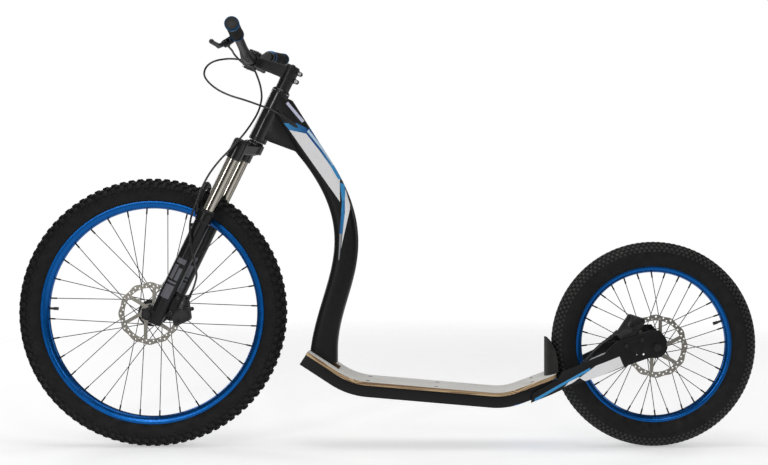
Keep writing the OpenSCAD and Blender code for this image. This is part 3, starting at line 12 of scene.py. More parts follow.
import bmesh
import bpy
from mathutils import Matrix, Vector
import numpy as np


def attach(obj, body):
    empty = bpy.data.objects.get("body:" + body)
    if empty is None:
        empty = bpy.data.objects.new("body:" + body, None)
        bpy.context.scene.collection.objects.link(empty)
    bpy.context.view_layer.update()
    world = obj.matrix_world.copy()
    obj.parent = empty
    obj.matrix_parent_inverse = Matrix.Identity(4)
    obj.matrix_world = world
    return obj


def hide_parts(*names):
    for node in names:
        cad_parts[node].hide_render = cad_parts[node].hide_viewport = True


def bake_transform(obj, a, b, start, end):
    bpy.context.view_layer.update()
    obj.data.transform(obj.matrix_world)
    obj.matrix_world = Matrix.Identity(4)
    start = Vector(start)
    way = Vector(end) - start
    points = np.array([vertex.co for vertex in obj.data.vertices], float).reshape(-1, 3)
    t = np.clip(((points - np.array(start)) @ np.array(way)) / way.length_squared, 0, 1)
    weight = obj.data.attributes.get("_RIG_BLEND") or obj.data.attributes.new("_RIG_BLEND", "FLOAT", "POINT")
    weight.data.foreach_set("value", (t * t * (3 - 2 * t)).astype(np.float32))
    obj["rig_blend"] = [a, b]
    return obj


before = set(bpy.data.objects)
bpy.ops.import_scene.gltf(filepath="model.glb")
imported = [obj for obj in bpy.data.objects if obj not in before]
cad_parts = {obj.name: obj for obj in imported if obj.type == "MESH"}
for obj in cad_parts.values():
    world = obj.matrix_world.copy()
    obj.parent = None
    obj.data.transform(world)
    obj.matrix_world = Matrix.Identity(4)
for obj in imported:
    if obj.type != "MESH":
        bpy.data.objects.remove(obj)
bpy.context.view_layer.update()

log = logging.getLogger("kick_scooter")
Colour = tuple[float, float, float]
Flat = tuple[float, float]

MM = 0.001
FRONT_AXLE = Vector((-601.0, 0.0, 343.0))
REAR_AXLE = Vector((682.0, 0.0, 262.0))
AXIS_FOOT = Vector((-559.655, 0.0, 322.835))
AXIS_UP = Vector((0.43837, 0.0, 0.89879))
AXIS_BACK = Vector((0.89879, 0.0, -0.43837))
BAR_CENTRE = Vector((-349.21, 0.0, 990.26))
GRIP_DIR = Vector((0.11158, 0.99186, 0.06131))
BAR_BEND = Vector((5.0, 200.0, 33.1))


class Side(Enum):
    """The rider's two sides, as the sign of Y."""

    LEFT = -1
    RIGHT = 1


# ---------------------------------------------------------------- shader wiring


class Wiring:
    """Puts nodes into one node tree and joins them."""

    def __init__(self, tree: bpy.types.NodeTree) -> None:
        """Keeps the tree.

        Args:
            tree: The node tree to fill.
        """
        self.tree = tree

    def put(self, kind: str, feeds: dict[Any, Any] | None = None, **props: Any) -> bpy.types.Node:
        """Adds a node.

        Args:
            kind: The node's type name.
            feeds: A value or an output socket for each input, by name or number.
            **props: Properties set on the node first.

        Returns:
            The new node.
        """
        made = self.tree.nodes.new(kind)
        for name, value in props.items():
            setattr(made, name, value)
        for key, value in (feeds or {}).items():
            if isinstance(value, bpy.types.NodeSocket):
                self.tree.links.new(value, made.inputs[key])
            else:
                made.inputs[key].default_value = value
        return made

    def calc(self, operation: str, a: Any, b: Any = 0.0) -> bpy.types.NodeSocket:
        """Adds a Math node.

        Args:
            operation: The node's operation.
            a: First number or socket.
            b: Second number or socket.

        Returns:
            The result's socket.
        """
        return self.put("ShaderNodeMath", {0: a, 1: b}, operation=operation).outputs[0]

    def blend(self, share: Any, a: Any, b: Any) -> bpy.types.NodeSocket:
        """Mixes two colours.

        Args:
            share: How much of b, as a number or socket.
            a: First colour.
            b: Second colour.

        Returns:
            The mixed colour's socket.
        """
        return self.put("ShaderNodeMix", {0: share, 6: a, 7: b}, data_type="RGBA").outputs[2]

    def ramp(self, value: Any, low: float, high: float, start: float = 0.0, end: float = 1.0
             ) -> bpy.types.NodeSocket:
        """Maps a value from one range to another and holds it there.

        Args:
            value: The value's socket.
            low: Value that gives start.
            high: Value that gives end.
            start: Result at low.
            end: Result at high.

        Returns:
            The result's socket.
        """
        return self.put("ShaderNodeMapRange", {0: value, 1: low, 2: high, 3: start, 4: end}).outputs[0]

    def noise(self, place: Any, scale: Any, detail: float = 3.0, rough: float = 0.55) -> bpy.types.NodeSocket:
        """Adds fractal noise.

        Args:
            place: Socket with the position.
            scale: Noise scale.
            detail: Number of octaves.
            rough: How strong the fine octaves are.

        Returns:
            The noise value's socket.
        """
        return self.put("ShaderNodeTexNoise", {"Vector": place, "Scale": scale, "Detail": detail,
                                               "Roughness": rough}).outputs[0]


def start_group(name: str, takes: Sequence[tuple[str, str, Any]], gives: Sequence[tuple[str, str]]
                ) -> tuple[Wiring, bpy.types.Node, bpy.types.Node]:
    """Makes an empty shader group with named sockets.

    Args:
        name: The group's name.
        takes: Name, socket type and default of each input.
        gives: Name and socket type of each output.

    Returns:
        The wiring, the group's input node and its output node.
    """
    tree = bpy.data.node_groups.new(name, "ShaderNodeTree")
    for label, kind, default in takes:
        socket = tree.interface.new_socket(label, in_out="INPUT", socket_type=kind)
        if default is not None:
            socket.default_value = default
    for label, kind in gives:
        tree.interface.new_socket(label, in_out="OUTPUT", socket_type=kind)
    wiring = Wiring(tree)
    return wiring, wiring.put("NodeGroupInput"), wiring.put("NodeGroupOutput")


def rgba(colour: Colour) -> tuple[float, float, float, float]:
    """Adds a full alpha to a colour."""
    return (*colour, 1.0)


class SharedGroups:
    """The effects that several finishes use, each built once."""

    def __init__(self) -> None:
        """Builds the groups."""
        self.grain = self._grain()
        self.wear = self._wear()
        self.dust = self._dust()
        self.drawn = self._drawn()
        self.turned = self._turned()

    def _grain(self) -> bpy.types.NodeTree:
        """Fine uneven grain, for roughness and height."""
        w, start, end = start_group(
            "fine_grain",
            [("Position", "NodeSocketVector", None), ("Scale", "NodeSocketFloat", 400.0),
             ("Low", "NodeSocketFloat", 0.3), ("High", "NodeSocketFloat", 0.5)],
            [("Roughness", "NodeSocketFloat"), ("Height", "NodeSocketFloat")])
        broad = w.noise(start.outputs[0], w.calc("MULTIPLY", start.outputs[1], 0.06), 4.0)
        fine = w.noise(start.outputs[0], start.outputs[1], 2.0)
        both = w.calc("ADD", w.calc("MULTIPLY", broad, 0.7), w.calc("MULTIPLY", fine, 0.3))
        w.tree.links.new(w.put("ShaderNodeMapRange", {0: both, 1: 0.38, 2: 0.62, 3: start.outputs[2],
                                                      4: start.outputs[3]}).outputs[0], end.inputs[0])
        w.tree.links.new(fine, end.inputs[1])
        return w.tree

    def _wear(self) -> bpy.types.NodeTree:
        """Rubbed patches and small chips in a finish."""
        w, start, end = start_group(
            "rubbed_wear",
            [("Position", "NodeSocketVector", None), ("Colour", "NodeSocketColor", (0.5, 0.5, 0.5, 1.0)),
             ("Worn", "NodeSocketColor", (0.7, 0.7, 0.7, 1.0)), ("Scale", "NodeSocketFloat", 60.0),
             ("Amount", "NodeSocketFloat", 0.3)],
            [("Colour", "NodeSocketColor")])
        patch = w.ramp(w.noise(start.outputs[0], start.outputs[3], 5.0, 0.65), 0.55, 0.72)
        chips = w.ramp(w.noise(start.outputs[0], w.calc("MULTIPLY", start.outputs[3], 9.0), 2.0), 0.66, 0.7)
        mask = w.calc("MULTIPLY", w.calc("MAXIMUM", w.calc("MULTIPLY", patch, 0.6), chips), start.outputs[4])
        w.tree.links.new(w.blend(mask, start.outputs[1], start.outputs[2]), end.inputs[0])
        return w.tree

    def _dust(self) -> bpy.types.NodeTree:
        """Dust that lies on faces that look up."""
        w, start, end = start_group(
            "settled_dust",
            [("Position", "NodeSocketVector", None), ("Colour", "NodeSocketColor", (0.5, 0.5, 0.5, 1.0)),
             ("Dust", "NodeSocketColor", (0.6, 0.57, 0.5, 1.0)), ("Amount", "NodeSocketFloat", 0.1)],
            [("Colour", "NodeSocketColor")])
        up = w.put("ShaderNodeSeparateXYZ", {0: w.put("ShaderNodeNewGeometry").outputs["Normal"]}).outputs[2]
        cloud = w.noise(start.outputs[0], 45.0, 5.0)
        lying = w.calc("MULTIPLY", w.ramp(up, 0.1, 1.0), w.ramp(cloud, 0.35, 0.7))
        share = w.calc("MULTIPLY", lying, start.outputs[3])
        w.tree.links.new(w.blend(share, start.outputs[1], start.outputs[2]), end.inputs[0])
        return w.tree

    def _drawn(self) -> bpy.types.NodeTree:
        """Fine lines drawn along one direction, as on brushed or extruded metal."""
        w, start, end = start_group(
            "drawn_lines",
            [("Position", "NodeSocketVector", None), ("Stretch", "NodeSocketVector", (900.0, 900.0, 30.0)),
             ("Low", "NodeSocketFloat", 0.2), ("High", "NodeSocketFloat", 0.4)],
            [("Roughness", "NodeSocketFloat"), ("Height", "NodeSocketFloat"), ("Shade", "NodeSocketFloat")])
        place = w.put("ShaderNodeVectorMath", {0: start.outputs[0], 1: start.outputs[1]},
                      operation="MULTIPLY")
        lines = w.noise(place.outputs[0], 1.0, 3.0)
        w.tree.links.new(w.put("ShaderNodeMapRange", {0: lines, 1: 0.35, 2: 0.65, 3: start.outputs[2],
                                                      4: start.outputs[3]}).outputs[0], end.inputs[0])
        w.tree.links.new(lines, end.inputs[1])
        w.tree.links.new(w.ramp(lines, 0.3, 0.7, 0.8, 1.15), end.inputs[2])
        return w.tree

    def _turned(self) -> bpy.types.NodeTree:
        """Rings left by a lathe or a grinding wheel round an axle that runs along Y."""
        w, start, end = start_group(
            "turned_rings",
            [("Position", "NodeSocketVector", None), ("Centre", "NodeSocketVector", (0.0, 0.0, 0.0)),
             ("Fineness", "NodeSocketFloat", 2500.0), ("Low", "NodeSocketFloat", 0.2),
             ("High", "NodeSocketFloat", 0.4)],
            [("Roughness", "NodeSocketFloat"), ("Height", "NodeSocketFloat")])
        away = w.put("ShaderNodeVectorMath", {0: start.outputs[0], 1: start.outputs[1]}, operation="SUBTRACT")
        flat = w.put("ShaderNodeVectorMath", {0: away.outputs[0], 1: (1.0, 0.0, 1.0)}, operation="MULTIPLY")
        radius = w.put("ShaderNodeVectorMath", {0: flat.outputs[0]}, operation="LENGTH").outputs["Value"]
        rings = w.put("ShaderNodeTexNoise", {"W": w.calc("MULTIPLY", radius, start.outputs[2]), "Scale": 1.0,
                                             "Detail": 2.0}, noise_dimensions="1D").outputs[0]
        w.tree.links.new(w.put("ShaderNodeMapRange", {0: rings, 1: 0.3, 2: 0.7, 3: start.outputs[3],
                                                      4: start.outputs[4]}).outputs[0], end.inputs[0])
        w.tree.links.new(rings, end.inputs[1])
        return w.tree


GROUPS = SharedGroups()


# ---------------------------------------------------------------- finishes


class Lay(Enum):
    """How the fine marks of a finish run."""

    EVEN = "even"
    DRAWN = "drawn"
    TURNED = "turned"


PAINT_EDGE = 0.3 * MM


@dataclass(frozen=True)
class Paint:
    """One painted area: a convex outline seen from the side, in millimetres, and its colour."""

    outline: tuple[Flat, ...]
    colour: Colour
    fade_colour: Colour | None = None


@dataclass(frozen=True)
class Finish:
    """A surface finish: its colour, gloss, grain, wear and dust.

    Attributes:
        name: Name of the finish and of its material.
        colour: Base colour, linear.
        low: Roughness where the grain is low.
        high: Roughness where it is high.
        metallic: 1 on bare metal.
        coat: Weight of a clear coat.
        specular: Specular level.
        grain: Scale of the grain.
        depth: Strength of the bump.
        worn: Colour under the finish.
        wear: Share of wear.
        wear_scale: Scale of the worn patches.
        dust: Share of dust on faces that look up.
        lay: How the marks run.
        stretch: Stretch of drawn lines.
        centre: Centre of turned rings, in millimetres.
        paints: Painted areas.
        reflection_bands: Painted reflection: light and dark stripes round a polished tube, set by which way
            its surface faces, as place across it and brightness.
    """

    name: str
    colour: Colour
    low: float = 0.35
    high: float = 0.5
    metallic: float = 0.0
    coat: float = 0.0
    specular: float = 0.5
    grain: float = 900.0
    depth: float = 0.15
    worn: Colour = (0.3, 0.3, 0.3)
    wear: float = 0.1
    wear_scale: float = 50.0
    dust: float = 0.04
    lay: Lay = Lay.EVEN
    stretch: tuple[float, float, float] = (1500.0, 1500.0, 40.0)
    centre: tuple[float, float, float] = (0.0, 0.0, 0.0)
    paints: tuple[Paint, ...] = ()
    reflection_bands: tuple[Flat, ...] = ()

    def build(self) -> bpy.types.Material:
        """Builds the material.

        Returns:
            A material whose nodes read Object coordinates.
        """
        material = bpy.data.materials.new(self.name)
        material.use_nodes = True
        material.diffuse_color = rgba(self.colour)
        tree = material.node_tree
        tree.nodes.clear()
        w = Wiring(tree)
        place = w.put("ShaderNodeTexCoord").outputs["Object"]
        rough, height, shade = self._marks(w, place)
        colour: Any = rgba(self.colour)
        if shade is not None:
            colour = w.blend(shade, rgba(tuple(c * 0.75 for c in self.colour)), colour)
        colour = self._painted_reflection(w, self._painted(w, place, colour))
        worn = w.put("ShaderNodeGroup", {
            "Position": place, "Colour": colour, "Worn": rgba(self.worn), "Scale": self.wear_scale,
            "Amount": self.wear}, node_tree=GROUPS.wear)
        dusty = w.put("ShaderNodeGroup", {
            "Position": place, "Colour": worn.outputs["Colour"], "Amount": self.dust},
            node_tree=GROUPS.dust)
        bump = w.put("ShaderNodeBump", {"Strength": self.depth, "Distance": 0.0004, "Height": height})
        shader = w.put("ShaderNodeBsdfPrincipled", {
            "Base Color": dusty.outputs[0], "Metallic": self.metallic, "Roughness": rough,
            "Coat Weight": self.coat, "Coat Roughness": 0.12, "Specular IOR Level": self.specular,
            "Normal": bump.outputs[0]})
        out = w.put("ShaderNodeOutputMaterial")
        tree.links.new(shader.outputs[0], out.inputs[0])
        return material

    def _marks(self, w: Wiring, place: bpy.types.NodeSocket) -> tuple[Any, Any, Any]:
        """Adds the fine marks.

        Args:
            w: The material's wiring.
            place: Socket with the position.

        Returns:
            Sockets for roughness, height and, where lines show, shade.
        """
        feeds: dict[Any, Any] = {"Position": place, "Low": self.low, "High": self.high}
        if self.lay is Lay.DRAWN:
            marks = w.put("ShaderNodeGroup", {**feeds, "Stretch": self.stretch}, node_tree=GROUPS.drawn)
        elif self.lay is Lay.TURNED:
            marks = w.put("ShaderNodeGroup", {
                **feeds, "Centre": [c * MM for c in self.centre], "Fineness": self.grain},
                node_tree=GROUPS.turned)
        else:
            marks = w.put("ShaderNodeGroup", {**feeds, "Scale": self.grain}, node_tree=GROUPS.grain)
        shade = marks.outputs["Shade"] if self.lay is Lay.DRAWN else None
        return marks.outputs["Roughness"], marks.outputs["Height"], shade

    def _painted_reflection(self, w: Wiring, colour: Any) -> Any:
        """Paints a reflection on a tube: light and dark stripes across it, set by which way its surface faces.

        Args:
            w: The material's wiring.
            colour: Colour or socket to shade.

        Returns:
            The shaded colour.
        """
        if not self.reflection_bands:
            return colour
        normal = w.put("ShaderNodeNewGeometry").outputs["Normal"]
        facing = w.put("ShaderNodeSeparateXYZ", {0: normal}).outputs[0]
        reflection_shades = w.put("ShaderNodeValToRGB", {0: w.ramp(facing, -1.0, 1.0)})
        stops = reflection_shades.color_ramp.elements
        while len(stops) < len(self.reflection_bands):
            stops.new(0.5)
        for stop, (where, level) in zip(stops, self.reflection_bands):
            stop.position = where
            stop.color = (level, level, level, 1.0)
        return w.put("ShaderNodeMix", {0: 1.0, 6: colour, 7: reflection_shades.outputs[0]}, data_type="RGBA",
                     blend_type="MULTIPLY").outputs[2]

    def _painted(self, w: Wiring, place: bpy.types.NodeSocket, colour: Any) -> Any:
        """Lays the painted areas over the base colour.

        Args:
            w: The material's wiring.
            place: Socket with the position.
            colour: Colour or socket to paint over.

        Returns:
            The painted colour.
        """
        for paint in self.paints:
            centre = [sum(p[k] for p in paint.outline) / len(paint.outline) for k in (0, 1)]
            mask: Any = None
            for a, b in zip(paint.outline, (*paint.outline[1:], paint.outline[0])):
                normal = Vector((a[1] - b[1], 0.0, b[0] - a[0])).normalized()
                if normal.dot(Vector((centre[0] - a[0], 0.0, centre[1] - a[1]))) < 0:
                    normal.negate()
                offset = -(normal.x * a[0] + normal.z * a[1]) * MM
                along = w.put("ShaderNodeVectorMath", {0: place, 1: normal}, operation="DOT_PRODUCT")
                inside = w.ramp(w.calc("ADD", along.outputs["Value"], offset), -PAINT_EDGE, PAINT_EDGE)
                mask = inside if mask is None else w.calc("MINIMUM", mask, inside)
            shade: Any = rgba(paint.colour)
            if paint.fade_colour is not None:
                along_x = w.put("ShaderNodeSeparateXYZ", {0: place}).outputs[0]
                xs = [p[0] * MM for p in paint.outline]
                shade = w.blend(w.ramp(along_x, min(xs), max(xs)), shade, rgba(paint.fade_colour))
            colour = w.blend(mask, colour, shade)
        return colour


POWDER_BLACK: Colour = (0.0055, 0.0055, 0.0065)
ROTOR_STEEL: Colour = (0.27, 0.255, 0.225)
WHITE_INK: Colour = (0.84, 0.84, 0.85)
SKY_BLUE: Colour = (0.045, 0.30, 0.62)
DEEP_BLUE: Colour = (0.01, 0.09, 0.28)
PALE_BLUE: Colour = (0.55, 0.72, 0.88)
GREY_INK: Colour = (0.30, 0.31, 0.33)
DIM_INK: Colour = (0.13, 0.13, 0.15)

TUBE_PAINTS = (
    Paint(((-252.6, 882.2), (-211.8, 833.6), (-216.9, 828.6), (-257.7, 877.2)), (0.62, 0.64, 0.80)),
    Paint(((-263.9, 827.7), (-229.7, 827.1), (-206.7, 815.8), (-204.7, 800.2), (-249.1, 809.6)),
          SKY_BLUE, DEEP_BLUE),
    Paint(((-206.7, 815.8), (-196.5, 805.5), (-204.7, 800.2)), DEEP_BLUE),
    Paint(((-249.1, 809.6), (-204.7, 800.2), (-195.5, 791.0), (-125.1, 693.1), (-120.5, 683.9),
           (-119.3, 626.7)), WHITE_INK),
    # The next three areas make the band along the rear edge of the white panel, deep blue into sky blue: a
    # painted teal highlight.
    Paint(((-196.0, 822.0), (-160.0, 772.0), (-173.5, 759.0), (-206.7, 801.0)), DEEP_BLUE),
    Paint(((-160.0, 772.0), (-132.0, 728.0), (-146.0, 721.0), (-173.5, 759.0)), DEEP_BLUE, SKY_BLUE),
    Paint(((-132.0, 728.0), (-112.0, 684.0), (-124.5, 684.0), (-146.0, 721.0)), SKY_BLUE),
    Paint(((-200.4, 811.4), (-163.0, 763.0), (-167.5, 760.0), (-204.0, 806.0)), PALE_BLUE),
    Paint(((-163.0, 763.0), (-136.0, 722.0), (-139.5, 720.0), (-167.5, 760.0)), PALE_BLUE),
    Paint(((-120.0, 675.2), (-110.1, 672.6), (-103.7, 631.8), (-114.2, 628.0)), SKY_BLUE),
    Paint(((-103.7, 631.8), (-114.2, 628.0), (-116.2, 600.0), (-106.3, 593.5)), SKY_BLUE, DEEP_BLUE),
    Paint(((-106.3, 593.5), (-116.2, 600.0), (-121.0, 545.1), (-114.0, 545.1)), DEEP_BLUE, SKY_BLUE),
    Paint(((-114.4, 545.1), (-120.5, 545.1), (-123.6, 478.8), (-121.4, 478.8)), GREY_INK),
    Paint(((-106.8, 659.8), (-94.5, 619.0), (-94.5, 606.2), (-106.8, 598.6)), WHITE_INK),
    Paint(((-94.5, 606.2), (-106.8, 598.6), (-117.0, 506.9)), WHITE_INK),
)
STAY_PAINTS = (
    Paint(((487.7, 184.3), (529.0, 215.9), (587.4, 239.3), (597.4, 214.9), (503.8, 175.4)), WHITE_INK),
    Paint(((375.5, 130.5), (513.9, 210.5), (513.9, 203.5), (375.5, 122.5)), SKY_BLUE),
    Paint(((450.0, 161.0), (470.0, 171.0), (489.0, 185.0), (485.0, 186.0), (462.0, 174.0)), WHITE_INK),
)
BASE_PAINTS = (
    Paint(((352.0, 119.5), (420.0, 147.0), (420.0, 144.5), (352.0, 116.0)), SKY_BLUE),
    Paint(((322.0, 112.0), (352.0, 119.5), (352.0, 116.0), (322.0, 109.5)), DEEP_BLUE, SKY_BLUE),
)


def leg_bar(up: float, end: float, back: float, width: float, colour: Colour) -> Paint:
    """A painted bar that runs along the fork legs.

    Args:
        up: Where it starts, counted up the steering axis.
        end: Where it ends.
        back: Its lower edge, counted behind the axis.
        width: Its width.
        colour: Its colour.

    Returns:
        The painted area.
    """
    corners = ((up, back), (end, back), (end, back + width), (up, back + width))
    points = (AXIS_FOOT + AXIS_UP * a + AXIS_BACK * b for a, b in corners)
    return Paint(tuple((q.x, q.z) for q in points), colour)


FORK_PAINTS = (
    leg_bar(60.0, 96.0, -34.0, 22.0, DIM_INK),
    leg_bar(101.0, 106.0, -34.0, 22.0, DIM_INK),
    leg_bar(111.0, 150.0, -34.0, 9.0, DIM_INK),
    leg_bar(111.0, 144.0, -21.0, 9.0, DIM_INK),
    leg_bar(155.0, 168.0, -34.0, 22.0, DIM_INK),
)


class Shop:
    """The finishes of the scooter, built when first asked for."""

    FINISHES = (
        Finish("frame_black", POWDER_BLACK, 0.32, 0.45, specular=0.22, grain=1400, depth=0.10, wear=0.05,
               worn=(0.03, 0.03, 0.032)),
        Finish("head_gloss", (0.006, 0.006, 0.0065), 0.16, 0.26, coat=0.4, grain=900, depth=0.05, wear=0.03,
               worn=(0.03, 0.03, 0.032)),
        Finish("tube_black", POWDER_BLACK, 0.32, 0.45, specular=0.22, grain=1400, depth=0.10, wear=0.05,
               worn=(0.03, 0.03, 0.032), paints=TUBE_PAINTS),
        Finish("stay_black", POWDER_BLACK, 0.34, 0.47, specular=0.22, grain=1200, depth=0.12, wear=0.08,
               worn=(0.035, 0.035, 0.037), paints=STAY_PAINTS),
        Finish("base_black", POWDER_BLACK, 0.34, 0.47, specular=0.22, grain=1200, depth=0.10, wear=0.08,
               worn=(0.035, 0.035, 0.037), paints=BASE_PAINTS),
        Finish("board_white", (0.90, 0.89, 0.85), 0.42, 0.62, grain=1600, depth=0.5, wear=0.28,
               worn=(0.55, 0.52, 0.46), wear_scale=28, dust=0.1),
        Finish("guard_plastic", (0.012, 0.0115, 0.011), 0.45, 0.6, specular=0.3, grain=700, depth=0.35,
               wear=0.2, worn=(0.09, 0.085, 0.08)),
        Finish("part_black", (0.006, 0.006, 0.0065), 0.28, 0.42, coat=0.1, specular=0.4, grain=1500,
               depth=0.12, wear=0.12, worn=(0.07, 0.07, 0.072)),
        Finish("plated_steel", (0.62, 0.63, 0.65), 0.22, 0.38, metallic=1.0, grain=1500, depth=0.1, wear=0.2,
               worn=(0.4, 0.38, 0.35)),
        Finish("bearing_steel", (0.55, 0.56, 0.58), 0.2, 0.32, metallic=1.0, grain=2000, depth=0.08),
        Finish("bare_aluminium", (0.68, 0.69, 0.71), 0.28, 0.42, metallic=1.0, lay=Lay.DRAWN, depth=0.1),
        Finish("spring_steel", (0.35, 0.36, 0.38), 0.3, 0.42, metallic=1.0, lay=Lay.DRAWN, depth=0.1),
        Finish("brake_lining", (0.10, 0.07, 0.05), 0.8, 0.95, grain=1100, depth=0.5, wear=0.3),
        Finish("hose_black", (0.008, 0.008, 0.009), 0.26, 0.36, coat=0.3, grain=2200, depth=0.06, wear=0.05),
        Finish("soft_rubber", (0.012, 0.012, 0.012), 0.6, 0.75, grain=900, depth=0.25),
        Finish("plug_plastic", (0.012, 0.012, 0.013), 0.4, 0.55, grain=1100, depth=0.2, wear=0.15),
        Finish("fork_gloss", (0.005, 0.005, 0.006), 0.16, 0.26, coat=0.2, specular=0.4, grain=900,
               depth=0.05, wear=0.03),
        Finish("fork_lower_black", (0.005, 0.005, 0.006), 0.26, 0.38, specular=0.28, grain=1100, depth=0.12,
               wear=0.05, worn=(0.05, 0.05, 0.055), paints=FORK_PAINTS),
        # Its light and dark stripes across the tube are a painted reflection of the studio in the polished
        # stanchions.
        Finish("stanchion_nickel", (0.80, 0.75, 0.65), 0.12, 0.22, metallic=1.0, lay=Lay.DRAWN, depth=0.04,
               stretch=(500.0, 500.0, 1200.0), wear=0.05, worn=(0.5, 0.45, 0.38),
               reflection_bands=((0.0, 0.06), (0.13, 0.20), (0.24, 1.0), (0.42, 0.9), (0.53, 0.22), (0.62, 0.16),
                      (0.72, 0.62), (0.86, 0.42), (1.0, 0.08))),
        Finish("bar_black", (0.012, 0.012, 0.014), 0.34, 0.46, coat=0.1, grain=1200, depth=0.12, wear=0.06,
               worn=(0.12, 0.12, 0.13)),
        Finish("grip_rubber", (0.012, 0.012, 0.013), 0.66, 0.84, specular=0.35, grain=800, depth=0.45,
               wear=0.1, worn=(0.05, 0.05, 0.05), dust=0.08),
        Finish("anodised_blue", (0.004, 0.12, 0.30), 0.22, 0.32, metallic=0.85, coat=0.3, grain=1800,
               depth=0.06, wear=0.05, worn=(0.3, 0.4, 0.5)),
        Finish("rim_blue", (0.001, 0.088, 0.33), 0.24, 0.34, metallic=0.92, coat=0.1, grain=700, depth=0.015,
               wear=0.04, worn=(0.01, 0.16, 0.50)),
        Finish("lever_black", (0.012, 0.012, 0.013), 0.24, 0.38, coat=0.3, grain=1400, depth=0.12, wear=0.1,
               worn=(0.2, 0.2, 0.2)),
        Finish("tyre_rubber", (0.0075, 0.0075, 0.0078), 0.62, 0.82, specular=0.25, grain=700, depth=0.4,
               wear=0.25, worn=(0.016, 0.016, 0.016), wear_scale=30, dust=0.05),
        # Paler than tyre_rubber: painted light on the lit faces of the rear tread blocks, with rubbed wear
        # over it.
        Finish("tread_grey", (0.020, 0.020, 0.0205), 0.55, 0.75, specular=0.4, grain=700, depth=0.4,
               wear=0.4, worn=(0.06, 0.06, 0.062), wear_scale=60, dust=0.1),
        Finish("tube_rubber", (0.02, 0.02, 0.02), 0.5, 0.65, grain=900, depth=0.2),
        Finish("spoke_black", (0.006, 0.006, 0.007), 0.35, 0.5, specular=0.2, lay=Lay.DRAWN, depth=0.05,
               wear=0.06, worn=(0.05, 0.05, 0.05)),
        Finish("front_rotor_steel", ROTOR_STEEL, 0.22, 0.36, metallic=1.0, lay=Lay.TURNED, grain=4200,
               depth=0.12, centre=tuple(FRONT_AXLE), wear=0.1, worn=(0.5, 0.44, 0.36)),
        Finish("rear_rotor_steel", ROTOR_STEEL, 0.22, 0.36, metallic=1.0, lay=Lay.TURNED, grain=4200,
               depth=0.12, centre=tuple(REAR_AXLE), wear=0.1, worn=(0.5, 0.44, 0.36)),
        Finish("black_steel", (0.015, 0.015, 0.016), 0.3, 0.42, metallic=0.4, grain=1500, depth=0.1, wear=0.2,
               worn=(0.25, 0.25, 0.25)),
    )

    def __init__(self) -> None:
        """Starts with an empty shelf."""
        self._recipes = {f.name: f for f in self.FINISHES}
        self._built: dict[str, bpy.types.Material] = {}

    def get(self, name: str) -> bpy.types.Material:
        """Gives the material of a finish.

        Args:
            name: Name of the finish.

        Returns:
            The material.
        """
        if name not in self._built:
            self._built[name] = PlyEdge().build() if name == "ply_edge" else self._recipes[name].build()
        return self._built[name]


@dataclass(frozen=True)
class PlyEdge:
    """The cut edge of the deck board: thin light and dark layers under the white face."""

    light: Colour = (0.56, 0.40, 0.22)
    dark: Colour = (0.20, 0.11, 0.05)
    layer: float = 1.5

    def build(self) -> bpy.types.Material:
        """Builds the material, which reads how far below the top face each point lies."""
        material = bpy.data.materials.new("ply_edge")
        material.use_nodes = True
        tree = material.node_tree
        tree.nodes.clear()
        w = Wiring(tree)
        place = w.put("ShaderNodeTexCoord").outputs["Object"]
        below = w.put("ShaderNodeAttribute", attribute_name="below_top").outputs["Fac"]
        wave = w.calc("SINE", w.calc("MULTIPLY", below, 2 * math.pi / (2 * self.layer)))
        grain = w.put("ShaderNodeGroup", {
            "Position": place, "Stretch": (60.0, 60.0, 1600.0), "Low": 0.5, "High": 0.75},
            node_tree=GROUPS.drawn)
        layers = w.ramp(w.calc("ADD", wave, w.calc("MULTIPLY", grain.outputs["Height"], 0.5)), -0.2, 0.7)
        colour = w.blend(layers, rgba(self.light), rgba(self.dark))
        bump = w.put("ShaderNodeBump", {"Strength": 0.3, "Distance": 0.0003, "Height": layers})
        shader = w.put("ShaderNodeBsdfPrincipled", {
            "Base Color": colour, "Roughness": grain.outputs["Roughness"], "Normal": bump.outputs[0]})
        tree.links.new(shader.outputs[0], w.put("ShaderNodeOutputMaterial").inputs[0])
        return material


SHOP = Shop()


# ---------------------------------------------------------------- mesh work


def steering_point(up: float, back: float = 0.0, y: float = 0.0) -> Vector:
    """A point counted from the foot of the steering axis.

    Args:
        up: Distance up the axis.
        back: Distance behind it.
        y: Distance to the rider's right.

    Returns:
        The point, in millimetres.
    """
    return AXIS_FOOT + AXIS_UP * up + AXIS_BACK * back + Vector((0.0, y, 0.0))


def piece(name: str, points: Iterable[Vector], faces: Iterable[Sequence[int]], finish: str,
          smooth: float | None = 40.0) -> bpy.types.Object:
    """Makes an object from points in millimetres.

    Args:
        name: Name of the piece.
        points: Its points.
        faces: Its faces.
        finish: Name of its finish.
        smooth: Angle in degrees above which an edge stays sharp, or None for flat faces.

    Returns:
        The object, at the origin.
    """
    mesh = bpy.data.meshes.new(name)
    mesh.from_pydata([tuple(p * MM) for p in points], [], [tuple(f) for f in faces])
    work = bmesh.new()
    work.from_mesh(mesh)
    bmesh.ops.remove_doubles(work, verts=work.verts, dist=1e-6)
    bmesh.ops.recalc_face_normals(work, faces=work.faces)
    work.to_mesh(mesh)
    work.free()
    return finished(name, mesh, finish, smooth)


def finished(name: str, mesh: bpy.types.Mesh, finish: str, smooth: float | None = 40.0) -> bpy.types.Object:
    """Puts a mesh in the scene with its finish.

    Args:
        name: Name of the piece.
        mesh: Its mesh, in metres.
        finish: Name of its finish.
        smooth: Angle above which an edge stays sharp, or None for flat faces.

    Returns:
        The object.
    """
    made = bpy.data.objects.new(name, mesh)
    bpy.context.scene.collection.objects.link(made)
    mesh.materials.clear()
    mesh.materials.append(SHOP.get(finish))
    if smooth is None:
        mesh.shade_flat()
    else:
        mesh.shade_smooth()
        mesh.set_sharp_from_angle(angle=math.radians(smooth))
    return made


